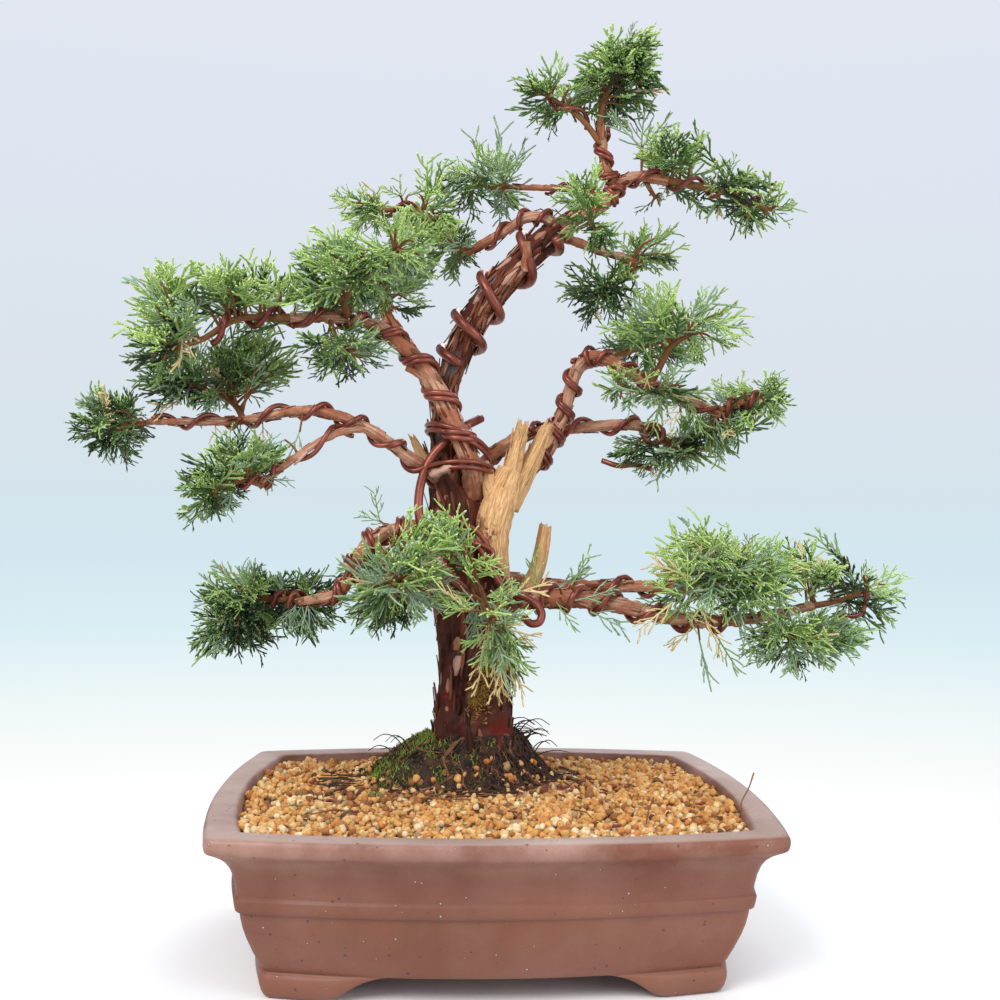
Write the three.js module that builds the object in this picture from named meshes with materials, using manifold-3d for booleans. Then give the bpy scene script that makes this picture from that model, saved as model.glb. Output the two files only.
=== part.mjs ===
// Juniper bonsai in a rectangular clay pot. Millimetres, Z up, X along the pot, Y to the back.
// The tree is written down about a point under the middle of the pot, on the ground, and the
// whole group is then moved so that its origin is under the middle of its own box.
import * as THREE from "three";
import { mergeVertices } from "three/addons/utils/BufferGeometryUtils.js";
import Module from "manifold-3d";

const wasm = await Module();
wasm.setup();

// Driving dimensions.
const gap = 0.3; // clear space between two pieces that touch
const potHalfLength = 180;
const potHalfDepth = 145;
const potHeight = 108;
const footHeight = 17;
const sideBow = 17; // the long sides swell this much at their middle
const endBow = 12; // the short sides
const cornerRadius = 7;
const rimWidth = 20;
const floorThickness = 14;
const soilDepth = 5; // middle of the grit's top, below the rim
const gritHeap = 3; // the grit is this much higher at the front and lower at the back
const gritHump = 2; // height of its low humps
const gritWave = 15; // length of a hump, over two pi
const footFlat = 36; // flat under a foot, along each side
const footSweep = 40; // length of the curve from that flat up to the body
const footWidth = 30;

const footInset = 34; // the feet stand this far inside the rim
const hollowTop = rimWidth; // the wall of the hollow, inside the rim
const hollowBottom = 42;
const hollowFloor = footHeight + floorThickness;

const soilTop = potHeight - soilDepth;
const trunkFoot = soilTop + 14; // flat cut of the trunk, inside the root mound
const moundHeight = 31;
const moundCentre = new THREE.Vector2(-20, 50);
const moundSpread = new THREE.Vector2(76, 48);
const moundSides = 14;

// Sides round a limb, and lengths between two points of its path.
const trunkSides = 12;
const trunkSteps = 2;
const boughSides = 5;
const boughSteps = 2;
const deadSides = 6;
const deadSteps = 2;
const stemSides = 4;
const wireSides = 3;
const wireStepsPerTurn = 8;

// A spray is a three-sided twig with teeth that stand out of its outer part.
const sprayDensity = 0.0007; // sprays for each square millimetre of a lobe's middle sections
const fewestSprays = 3; // in a lobe
const sprayStep = 14; // length between two rings of a spray
const sprayRings = [3, 4]; // fewest and most lengths in a spray
const toothedRings = 3; // lengths that carry teeth, counted from the tip
const twigRadius = [2.2, 1.7]; // at a spray's seat and at its last ring
const toothLength = [26, 36];
const toothLean = 0.85; // radians off the twig's line
const toothSpacing = 3.6; // least distance between the teeth of two sprays
const toothSplay = 0.5; // radians between a tooth and the middle of its side
const tipReach = [0.5, 0.88]; // share of the lobe that the spray tips reach
const turnStep = 2.4; // radians between one spray and the next, round the lobe
const turnScatter = 0.3; // radians

const colours = {
  clay: [0x7d5349, 0.75],
  grit: [0xc9924e, 0.95],
  roots: [0x33291f, 0.95],
  bark: [0x6e4232, 0.9],
  limb: [0x8a5a44, 0.88],
  dead: [0xd0a365, 0.85],
  wire: [0x6b3a34, 0.45],
  leaf: [0x5f9150, 0.8],
};

// Limbs: [x, y, z, radius] from the root to the tip.
const trunkPath = [
  [-8, 45, trunkFoot, 36], [-10, 45, 164, 29], [-12, 45, 240, 27.5], [-19, 45, 300, 23.5],
  [-32, 47, 353, 13], [-33, 48, 392, 10.5], [-26, 47, 421, 10.5], [-4, 45, 466, 11.5],
  [42, 43, 517, 9.5], [52, 43, 525, 7.5],
];

// Each bough: the limb that carries it, and its path.
const boughs = {
  leader: ["trunk", [[46, 43, 521, 7], [68, 49, 537, 7], [87, 52, 547, 7], [96, 52, 559, 6.5],
    [88, 48, 572, 5.5], [83, 46, 604, 4]]],
  bough_upper_left: ["trunk", [[-10, 36, 320, 10], [-15, 20, 342, 9], [-31, 16, 378, 8],
    [-54, 20, 417, 7.5], [-85, 22, 443, 6]]],
  bough_left_far: ["bough_upper_left", [[-83, 22, 442, 5.5], [-109, 18, 447, 5], [-148, 13, 446, 4]]],
  bough_mid_left: ["trunk", [[-33, 45, 329, 7], [-59, 26, 345, 6.5], [-95, 10, 368, 5.5],
    [-132, 8, 378, 4.5], [-184, 24, 371, 3.5], [-252, 38, 370, 2.5]]],
  bough_left_drop: ["bough_mid_left", [[-95, 10, 367, 4.5], [-116, 0, 360, 4], [-148, -8, 337, 3.5],
    [-166, -12, 322, 3]]],
  bough_low_left: ["trunk", [[-28, 45, 293, 7], [-59, 24, 294, 6], [-85, 8, 286, 5.5],
    [-98, 0, 267, 5], [-107, 0, 248, 4.5], [-138, 20, 239, 3.5]]],
  bough_mid_right: ["trunk", [[-19, 50, 319, 8.5], [3, 76, 349, 8], [35, 90, 370, 7],
    [72, 90, 375, 6.5], [115, 80, 378, 5.5], [136, 76, 373, 4.5]]],
  bough_right_rise: ["trunk", [[-7, 55, 298, 9], [23, 70, 329, 8], [46, 70, 355, 8],
    [60, 66, 386, 7], [68, 56, 419, 6.5]]],
  bough_right_arch: ["bough_right_rise", [[68, 56, 418, 6.5], [78, 51, 428, 6.5], [93, 46, 424, 6],
    [122, 37, 406, 5.5], [175, 26, 383, 3.5]]],
  bough_low_right: ["trunk", [[2, 38, 236, 8.5], [45, 24, 243, 7.5], [84, 14, 241, 6.5],
    [147, 10, 229, 5.5], [191, 12, 230, 4.5], [244, 18, 240, 3.5]]],
  bough_low_right_back: ["trunk", [[-4, 60, 258, 7], [48, 74, 250, 6.5], [81, 76, 249, 6.5],
    [123, 73, 250, 5.5], [158, 70, 247, 4.5]]],
  bough_top_left: ["trunk", [[52, 43, 524, 5.5], [38, 40, 532, 5.5], [24, 44, 531, 5.5], [11, 53, 523, 5],
    [-18, 68, 509, 4]]],
  bough_top_left_thin: ["leader", [[87, 54, 553, 4], [62, 64, 560, 3.5], [24, 74, 563, 2.5]]],
  bough_top_right: ["leader", [[96, 52, 561, 5.5], [112, 50, 568, 5], [136, 44, 564, 4]]],
  bough_top_drop: ["trunk", [[49, 45, 519, 5], [74, 60, 516, 4.5], [118, 80, 508, 3.5]]],
  bough_back_upper: ["trunk", [[-31, 50, 361, 8.5], [-41, 90, 400, 7.5], [-59, 125, 438, 6.5],
    [-80, 150, 470, 5]]],
  bough_back_low: ["trunk", [[-14, 50, 247, 7.5], [-42, 110, 245, 7], [-62, 150, 245, 5.5]]],
  bough_back_right: ["trunk", [[-13, 55, 316, 8.5], [38, 105, 345, 7.5], [66, 130, 389, 6.5],
    [83, 145, 432, 6], [112, 160, 440, 4.5]]],
};

// Dead wood: each node is one or more limbs joined.
const deadwood = {
  deadwood_split: [
    [[8, 34, 256, 9], [2, 26, 290, 12.5], [8, 28, 316, 12], [16, 32, 338, 9]],
    [[10, 27, 312, 7.5], [18, 30, 346, 6.5], [25, 32, 374, 4.5]],
    [[15, 34, 310, 8], [30, 40, 342, 7.5], [45, 46, 372, 4.5]],
    [[2, 24, 316, 6], [-2, 26, 334, 4.5], [-4, 27, 343, 3]],
  ],
  deadwood_side_stub: [[[14, 56, 258, 5.5], [37, 54, 277, 5.5], [45, 54, 295, 4.5]]],
  deadwood_left_stub: [[[-37, 42, 332, 4], [-49, 44, 346, 4], [-58, 44, 363, 2]]],
};

// Wires: the limb each one climbs, from and to which share of it, its turns, its radius, and
// the turn's start in degrees.
const wires = {
  wire_trunk: ["trunk", 0.66, 0.905, 4, 3.8, 200],
  wire_upper_left: ["bough_upper_left", 0.3, 0.97, 4, 2.1, 90],
  wire_mid_left: ["bough_mid_left", 0.45, 0.76, 5, 1.9, 0],
  wire_mid_right: ["bough_mid_right", 0.4, 0.97, 5, 2.1, 180],
  wire_right_rise: ["bough_right_rise", 0.55, 0.98, 3, 2.1, 0],
  wire_low_right: ["bough_low_right", 0.2, 0.75, 7, 2.2, 45],
};

// Masses of foliage: the limb that carries each, its stem [x, y, z, radius], and its lobes
// [x, y, z, half-sizes along X, Y and Z].
const masses = {
  foliage_apex: ["leader", [[83, 46, 600, 4], [84, 46, 622, 3.5], [94, 46, 645, 3], [104, 46, 660, 2]],
    [[93, 46, 636, 38, 50, 32], [104, 46, 664, 24, 46, 20]]],
  foliage_apex_left: ["leader", [[84, 46, 590, 3.5], [68, 46, 610, 3], [44, 46, 626, 2]],
    [[48, 46, 626, 34, 46, 22]]],
  foliage_top_right: ["bough_top_right", [[132, 45, 565, 4], [168, 40, 558, 3.5], [194, 38, 550, 3],
    [215, 36, 542, 2.5]],
  [[135, 42, 580, 26, 52, 23], [176, 38, 557, 26, 56, 18], [210, 36, 543, 20, 56, 18]]],
  foliage_top_right_low: ["bough_top_right", [[118, 49, 567, 3], [124, 56, 560, 2.5], [129, 60, 555, 2]],
    [[128, 60, 555, 17, 32, 15]]],
  foliage_top_centre: ["leader", [[84, 51, 546, 4], [76, 30, 541, 3.5], [69, 10, 535, 3], [71, 6, 519, 2]],
    [[66, 8, 534, 25, 34, 29], [77, 2, 503, 14, 30, 14]]],
  foliage_upper_left: ["bough_top_left", [[-14, 66, 511, 4], [-27, 74, 516, 3.5], [-39, 84, 536, 3],
    [-63, 90, 547, 3], [-90, 96, 546, 2.5]],
  [[-98, 96, 545, 29, 50, 18], [-51, 88, 550, 29, 56, 27], [-32, 84, 513, 28, 56, 24]]],
  foliage_upper_left_inner: ["bough_top_left_thin", [[28, 73, 563, 2.5], [8, 80, 565, 3],
    [-11, 84, 567, 2.5]],
  [[-1, 84, 567, 35, 54, 27]]],
  foliage_under_top: ["bough_top_drop", [[114, 78, 509, 3.5], [116, 88, 502, 3], [93, 92, 485, 2.5]],
    [[131, 88, 520, 27, 50, 21], [91, 92, 483, 32, 56, 27]]],
  foliage_mid_right_upper: ["bough_right_arch", [[122, 37, 406, 4.5], [130, 32, 422, 3.5],
    [137, 30, 435, 3], [150, 28, 443, 2]],
  [[122, 30, 452, 36, 54, 28], [164, 26, 447, 24, 56, 30]]],
  foliage_mid_right_inner: ["bough_right_arch", [[90, 47, 424, 3], [96, 40, 410, 2.5], [102, 30, 400, 2]],
    [[101, 24, 400, 25, 44, 18]]],
  foliage_mid_right_far: ["bough_right_arch", [[171, 27, 385, 3.5], [189, 22, 392, 3], [206, 18, 397, 2]],
    [[183, 18, 390, 27, 52, 19], [208, 16, 394, 19, 56, 19], [175, 30, 364, 18, 46, 15]]],
  foliage_mid_right_low: ["bough_mid_right", [[133, 77, 374, 4], [141, 74, 366, 3.5], [149, 70, 357, 2.5]],
    [[133, 70, 352, 36, 56, 19], [160, 64, 366, 19, 52, 22]]],
  foliage_left_big: ["bough_left_far", [[-145, 13, 446, 4], [-166, 10, 445, 3.5], [-186, 8, 443, 3.5],
    [-208, 5, 428, 3], [-228, 0, 419, 2]],
  [[-213, -5, 452, 47, 56, 32], [-238, 0, 415, 29, 56, 25], [-175, 6, 458, 42, 50, 34]]],
  foliage_left_centre: ["bough_left_far", [[-106, 18, 447, 3.5], [-108, 4, 458, 3.5], [-94, 2, 476, 3],
    [-73, 4, 494, 2]],
  [[-112, 10, 474, 40, 60, 34], [-69, 6, 496, 28, 50, 28]]],
  foliage_left_centre_low: ["bough_left_far", [[-120, 17, 447, 3], [-115, 8, 433, 2.5], [-107, 4, 421, 2]],
    [[-107, 4, 421, 32, 56, 23]]],
  foliage_left_under: ["bough_mid_left", [[-181, 24, 371, 3.5], [-191, 44, 384, 3], [-208, 56, 395, 2.5],
    [-231, 60, 398, 2.5]],
  [[-227, 60, 400, 37, 56, 26], [-179, 62, 409, 32, 50, 23]]],
  foliage_left_tip: ["bough_mid_left", [[-248, 38, 370, 3], [-263, 40, 368, 2.5], [-280, 42, 363, 2.5]],
    [[-279, 42, 367, 27, 58, 32]]],
  foliage_left_low: ["bough_left_drop", [[-163, -12, 323, 3], [-175, -16, 326, 3], [-188, -20, 322, 2.5],
    [-199, -22, 315, 2]],
  [[-178, -20, 339, 32, 50, 25], [-199, -22, 315, 25, 52, 21]]],
  foliage_low_left: ["bough_low_left", [[-134, 18, 240, 3.5], [-153, 28, 240, 3], [-176, 38, 237, 2.5],
    [-193, 44, 220, 2.5]],
  [[-180, 40, 241, 35, 56, 23], [-190, 44, 214, 30, 52, 20], [-135, 34, 236, 33, 50, 25]]],
  foliage_low_centre: ["bough_low_left", [[-85, 8, 286, 4], [-76, -20, 271, 3.5], [-68, -38, 255, 2.5]],
    [[-68, -40, 252, 39, 46, 32], [-48, -36, 286, 21, 40, 21]]],
  foliage_front: ["trunk", [[-11, 40, 255, 4.5], [-11, 5, 251, 4], [-8, -30, 245, 3], [-1, -44, 232, 2.5]],
    [[-10, -44, 245, 32, 40, 30], [6, -46, 211, 18, 36, 26], [-33, -40, 293, 17, 32, 18]]],
  foliage_low_right: ["bough_low_right_back", [[154, 70, 247, 4.5], [166, 50, 257, 4], [171, 25, 264, 3],
    [189, 8, 265, 2]],
  [[158, 2, 276, 37, 54, 30], [134, -22, 246, 28, 34, 17], [200, 4, 263, 31, 50, 26]]],
  foliage_low_right_tip: ["bough_low_right", [[240, 18, 239, 3.5], [262, 20, 243, 3], [283, 20, 250, 2]],
    [[284, 20, 246, 33, 50, 25], [246, 16, 272, 28, 46, 24]]],
  foliage_low_right_under: ["bough_low_right", [[214, 15, 235, 3.5], [220, 15, 223, 3], [226, 14, 213, 2]],
    [[226, 14, 212, 34, 52, 27], [258, 18, 214, 24, 44, 20]]],
  foliage_back_upper: ["bough_back_upper", [[-78, 148, 467, 5], [-83, 162, 487, 4.5], [-86, 170, 510, 3]],
    [[-83, 168, 501, 41, 50, 39]]],
  foliage_back_low: ["bough_back_low", [[-60, 147, 246, 5], [-71, 172, 244, 3.5]],
    [[-71, 170, 244, 48, 52, 43]]],
  foliage_back_right: ["bough_back_right", [[110, 159, 440, 4.5], [132, 170, 451, 4.5], [157, 176, 459, 3]],
    [[148, 175, 456, 43, 52, 35]]],
  foliage_back_low_right: ["bough_low_right_back", [[123, 73, 250, 4], [155, 110, 247, 3.5],
    [191, 140, 257, 3]],
  [[202, 150, 261, 42, 50, 34]]],
};

// A closed solid from a geometry, with its shared corners merged.
function toSolid(geometry) {
  const bare = geometry.clone();
  bare.deleteAttribute("normal");
  bare.deleteAttribute("uv");
  const merged = mergeVertices(bare, 1e-4);
  const mesh = new wasm.Mesh({
    numProp: 3,
    vertProperties: new Float32Array(merged.attributes.position.array),
    triVerts: new Uint32Array(merged.index.array),
  });
  return new wasm.Manifold(mesh);
}

// The solid's largest shell: a sealed hollow is filled and a loose scrap is dropped.
function toGeometry(solid) {
  const mesh = solid.getMesh();
  const parent = Array.from({ length: mesh.vertProperties.length / 3 }, (_, i) => i);
  const find = (i) => {
    let root = i;
    while (parent[root] !== root) root = parent[root];
    while (parent[i] !== root) [parent[i], i] = [root, parent[i]];
    return root;
  };
  const corners = mesh.triVerts;
  for (let i = 0; i < corners.length; i += 3) {
    parent[find(corners[i + 1])] = find(corners[i]);
    parent[find(corners[i + 2])] = find(corners[i]);
  }
  const at = (i) => new THREE.Vector3().fromArray(mesh.vertProperties, 3 * i);
  const volumes = new Map();
  for (let i = 0; i < corners.length; i += 3) {
    const root = find(corners[i]);
    const [a, b, c] = [at(corners[i]), at(corners[i + 1]), at(corners[i + 2])];
    volumes.set(root, (volumes.get(root) ?? 0) + a.dot(b.cross(c)) / 6);
  }
  const largest = [...volumes].reduce((best, next) => (next[1] > best[1] ? next : best))[0];
  const kept = [];
  for (let i = 0; i < corners.length; i += 3) {
    if (find(corners[i]) === largest) kept.push(corners[i], corners[i + 1], corners[i + 2]);
  }
  const geometry = new THREE.BufferGeometry();
  geometry.setAttribute("position", new THREE.BufferAttribute(mesh.vertProperties, 3));
  geometry.setIndex(kept);
  return geometry;
}

// A closed skin over rings of equal count, with a flat fan at each end.
function skinRings(rings) {
  const count = rings[0].length;
  const position = rings.flat().flatMap((p) => [p.x, p.y, p.z]);
  const index = [];
  for (let k = 0; k + 1 < rings.length; k++) {
    for (let i = 0; i < count; i++) {
      const a = k * count + i;
      const b = k * count + ((i + 1) % count);
      index.push(a, b, b + count, a, b + count, a + count);
    }
  }
  const last = (rings.length - 1) * count;
  for (let i = 1; i + 1 < count; i++) {
    index.push(0, i + 1, i);
    index.push(last, last + i, last + i + 1);
  }
  const geometry = new THREE.BufferGeometry();
  geometry.setAttribute("position", new THREE.Float32BufferAttribute(position, 3));
  geometry.setIndex(index);
  return geometry;
}

// Points along a limb's smooth centre line, each with its radius and its tangent.
function sampleLimb(path, steps) {
  const curve = new THREE.CatmullRomCurve3(
    path.map(([x, y, z]) => new THREE.Vector3(x, y, z)), false, "centripetal");
  const spans = path.length - 1;
  const samples = [];
  for (let i = 0; i <= spans * steps; i++) {
    const t = i / (spans * steps);
    const span = Math.min(Math.floor(i / steps), spans - 1);
    const share = i / steps - span;
    samples.push({
      point: curve.getPoint(t),
      tangent: curve.getTangent(t),
      radius: THREE.MathUtils.lerp(path[span][3], path[span + 1][3], share),
    });
  }
  return samples;
}

// A pair of directions across each sample, carried along the limb without twist.
function carryFrames(samples) {
  let across = new THREE.Vector3(0, 1, 0);
  if (Math.abs(samples[0].tangent.y) > 0.9) across.set(1, 0, 0);
  return samples.map(({ tangent }) => {
    across = across.clone().addScaledVector(tangent, -across.dot(tangent)).normalize();
    return [across, new THREE.Vector3().crossVectors(tangent, across)];
  });
}

// A tapering limb with flat ends, grown by extra all round where a neighbour is to be cut clear.
function limbGeometry(path, sides, steps, extra = 0) {
  const samples = sampleLimb(path, steps);
  const frames = carryFrames(samples);
  const swell = extra / Math.cos(Math.PI / sides);
  const rings = samples.map(({ point, radius }, k) => Array.from({ length: sides }, (_, i) => {
    const angle = (i / sides) * 2 * Math.PI;
    return point.clone()
      .addScaledVector(frames[k][0], (radius + swell) * Math.cos(angle))
      .addScaledVector(frames[k][1], (radius + swell) * Math.sin(angle));
  }));
  const first = samples[0].tangent.clone().multiplyScalar(-extra);
  const last = samples.at(-1).tangent.clone().multiplyScalar(extra);
  rings[0].forEach((p) => p.add(first));
  rings.at(-1).forEach((p) => p.add(last));
  return skinRings(rings);
}

// One level of the pot: a bowed rectangle with round corners, drawn in by inset.
function potRing(inset, z) {
  const halfX = potHalfLength - inset;
  const halfY = potHalfDepth - inset;
  const corner = 2;
  const along = 4;
  const ring = [];
  const side = (fromX, fromY, toX, toY, bow, outX, outY) => {
    for (let i = 0; i < along; i++) {
      const share = i / along;
      const swell = bow * (1 - (2 * share - 1) ** 2);
      ring.push(new THREE.Vector3(
        THREE.MathUtils.lerp(fromX, toX, share) + outX * swell,
        THREE.MathUtils.lerp(fromY, toY, share) + outY * swell, z));
    }
  };
  const arc = (x, y, from) => {
    for (let i = 0; i < corner; i++) {
      const angle = from + (i / corner) * (Math.PI / 2);
      ring.push(new THREE.Vector3(
        x + cornerRadius * Math.cos(angle), y + cornerRadius * Math.sin(angle), z));
    }
  };
  const [cx, cy] = [halfX - cornerRadius, halfY - cornerRadius];
  side(-cx, -halfY, cx, -halfY, sideBow, 0, -1);
  arc(cx, -cy, -Math.PI / 2);
  side(halfX, -cy, halfX, cy, endBow, 1, 0);
  arc(cx, cy, 0);
  side(cx, halfY, -cx, halfY, sideBow, 0, 1);
  arc(-cx, cy, Math.PI / 2);
  side(-halfX, cy, -halfX, -cy, endBow, -1, 0);
  arc(-cx, -cy, Math.PI);
  return ring;
}

// The pot: a body with a concave neck under the rim and a raised belt, on four corner feet.
function makePot() {
  const profile = [
    [footInset, 0], [footInset - 3, footHeight - 3], [footInset, footHeight], [27.5, 30], [21, 50],
    [20, 57], [18, 58.5], [16.5, 66], [17.8, 68], [14, 86], [9, 93], [1, 99], [0, 104],
    [3, potHeight],
  ];
  const outside = toSolid(skinRings(profile.map(([inset, z]) => potRing(inset, z))));
  const hollow = toSolid(skinRings([
    potRing(hollowBottom, hollowFloor),
    potRing(hollowTop, potHeight + 1),
  ]));
  const footBack = footInset + footWidth;
  const under = toSolid(skinRings([potRing(footBack + 4, -1), potRing(footBack, footHeight)]));
  const footRise = 0.4 * footSweep; // how far the curve's handles reach
  const archBetween = (half) => {
    const shape = new THREE.Shape();
    const flatEnd = half - footFlat;
    const sweepEnd = flatEnd - footSweep;
    shape.moveTo(-flatEnd, -1);
    shape.lineTo(flatEnd, -1);
    shape.lineTo(flatEnd, 0);
    shape.bezierCurveTo(flatEnd - footRise, 0, flatEnd - footRise, 0.72 * footHeight,
      sweepEnd, footHeight);
    shape.lineTo(-sweepEnd, footHeight);
    shape.bezierCurveTo(-flatEnd + footRise, 0.72 * footHeight, -flatEnd + footRise, 0,
      -flatEnd, 0);
    const depth = 2 * potHalfLength;
    const geometry = new THREE.ExtrudeGeometry(shape, { depth, bevelEnabled: false, curveSegments: 4 });
    geometry.translate(0, 0, -depth / 2);
    geometry.rotateX(Math.PI / 2);
    return geometry;
  };
  const frontArch = toSolid(archBetween(potHalfLength - footInset));
  const endArch = toSolid(archBetween(potHalfDepth - footInset).rotateZ(Math.PI / 2));
  return toGeometry(outside.subtract(hollow).subtract(under).subtract(frontArch).subtract(endArch));
}

// A point of the mound's outline: share 1 is its edge, and phase turns its unevenness.
function moundPoint(share, phase, angle, z) {
  const uneven = 1 + 0.07 * Math.sin(3 * angle + phase) + 0.05 * Math.sin(5 * angle + 1);
  return new THREE.Vector3(
    moundCentre.x + moundSpread.x * share * uneven * Math.cos(angle),
    moundCentre.y + moundSpread.y * share * uneven * Math.sin(angle), z);
}

function moundRing(share, phase, z) {
  return Array.from({ length: moundSides }, (_, i) => (
    moundPoint(share, phase, (i / moundSides) * 2 * Math.PI, z)));
}

// Top of the grit: heaped towards the front, sunk at the back, humps between, level by the mound.
function gritLevel(x, y) {
  const away = Math.hypot((x - moundCentre.x) / moundSpread.x, (y - moundCentre.y) / moundSpread.y);
  const free = THREE.MathUtils.smoothstep(away, 1.1, 1.7);
  const heap = -gritHeap * (y / potHalfDepth);
  return soilTop + free * (heap + gritHump * Math.sin(x / gritWave) * Math.cos(y / gritWave));
}

// The grit fills the hollow up to that uneven top, and is flat under the mound.
function makeGrit() {
  const insetAt = (z) => THREE.MathUtils.mapLinear(
    z, hollowFloor, potHeight + 1, hollowBottom, hollowTop) + gap;
  const edge = potRing(insetAt(soilTop), soilTop);
  const top = [0.95, 0.8, 0.62, 0.44, 0.22].map((share) => edge.map(({ x, y }) => (
    new THREE.Vector3(x * share, y * share, gritLevel(x * share, y * share)))));
  const bed = toSolid(skinRings([potRing(insetAt(hollowFloor), hollowFloor + gap), edge, ...top]));
  const clear = toSolid(skinRings([moundRing(1.1, 0, soilTop), moundRing(1.1, 0, potHeight + 10)]));
  return toGeometry(bed.subtract(clear));
}

// The root mound: a low uneven dome about the trunk's foot.
function makeMound() {
  const levels = [[1, 0], [0.94, 0.2], [0.8, 0.5], [0.58, 0.85], [0.34, 1]];
  const rings = levels.map(([share, rise], k) => (
    moundRing(share, k, soilTop + Math.max(gap, rise * moundHeight))));
  const clear = toSolid(limbGeometry(trunkPath, trunkSides, trunkSteps, gap));
  return toGeometry(toSolid(skinRings(rings)).subtract(clear));
}

const paths = new Map([["trunk", trunkPath]]);
for (const [name, [, path]] of Object.entries(boughs)) paths.set(name, path);

function limbSolid(name, extra = 0) {
  const isTrunk = name === "trunk";
  const sides = isTrunk ? trunkSides : boughSides;
  return toSolid(limbGeometry(paths.get(name), sides, isTrunk ? trunkSteps : boughSteps, extra));
}

// A wire coiled up a limb, just clear of its bark.
function makeWire([limb, from, to, turns, radius, start]) {
  const samples = sampleLimb(paths.get(limb), 12);
  const frames = carryFrames(samples);
  const chord = Math.cos(Math.PI / wireStepsPerTurn);
  const count = turns * wireStepsPerTurn;
  const points = [];
  for (let i = 0; i <= count; i++) {
    const share = (from + (to - from) * (i / count)) * (samples.length - 1);
    const k = Math.min(Math.floor(share), samples.length - 2);
    const blend = share - k;
    const angle = THREE.MathUtils.degToRad(start) - (i / wireStepsPerTurn) * 2 * Math.PI;
    const reach = (THREE.MathUtils.lerp(samples[k].radius, samples[k + 1].radius, blend)
      + radius + gap) / chord + gap;
    const across = frames[k][0].clone().lerp(frames[k + 1][0], blend).normalize();
    const beside = frames[k][1].clone().lerp(frames[k + 1][1], blend).normalize();
    points.push(samples[k].point.clone().lerp(samples[k + 1].point, blend)
      .addScaledVector(across, reach * Math.cos(angle))
      .addScaledVector(beside, reach * Math.sin(angle)));
  }
  return limbGeometry(points.map((p) => [p.x, p.y, p.z, radius]), wireSides, 1);
}

// A repeatable row of numbers from 0 to 1.
function seededRow(seed) {
  let state = seed >>> 0;
  return () => {
    state = (Math.imul(state, 1664525) + 1013904223) >>> 0;
    return state / 4294967296;
  };
}

// The shortest distance between two straight pieces.
function pieceDistance(a, b) {
  const u = a.to.clone().sub(a.from);
  const v = b.to.clone().sub(b.from);
  const w = a.from.clone().sub(b.from);
  const [uu, uv, vv, uw, vw] = [u.dot(u), u.dot(v), v.dot(v), u.dot(w), v.dot(w)];
  const clamp = (x) => THREE.MathUtils.clamp(x, 0, 1);
  const det = uu * vv - uv * uv;
  let s = det > 1e-9 ? clamp((uv * vw - vv * uw) / det) : 0;
  const t = clamp((uv * s + vw) / Math.max(vv, 1e-9));
  s = clamp((uv * t - uw) / Math.max(uu, 1e-9));
  return w.addScaledVector(u, s).addScaledVector(v, -t).length();
}

// What is already in place, as round pieces that new ones keep clear of.
const taken = [];

function addTaken(path, owner, steps, wire = 0) {
  const samples = sampleLimb(path, steps);
  for (let i = 0; i + 1 < samples.length; i++) {
    const radius = Math.max(samples[i].radius, samples[i + 1].radius) + wire;
    taken.push({ from: samples[i].point, to: samples[i + 1].point, radius, owner });
  }
}

function isFree(from, to, radius, owner, clearance = 0.8) {
  const piece = { from, to };
  return taken.every((other) => other.owner === owner
    || pieceDistance(piece, other) > radius + other.radius + clearance);
}

// Whether a point lies in a lobe, grown by a factor.
function inLobe(point, lobe, factor) {
  const x = (point.x - lobe[0]) / lobe[3];
  const y = (point.y - lobe[1]) / lobe[4];
  const z = (point.z - lobe[2]) / lobe[5];
  return x * x + y * y + z * z <= factor * factor;
}

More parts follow.
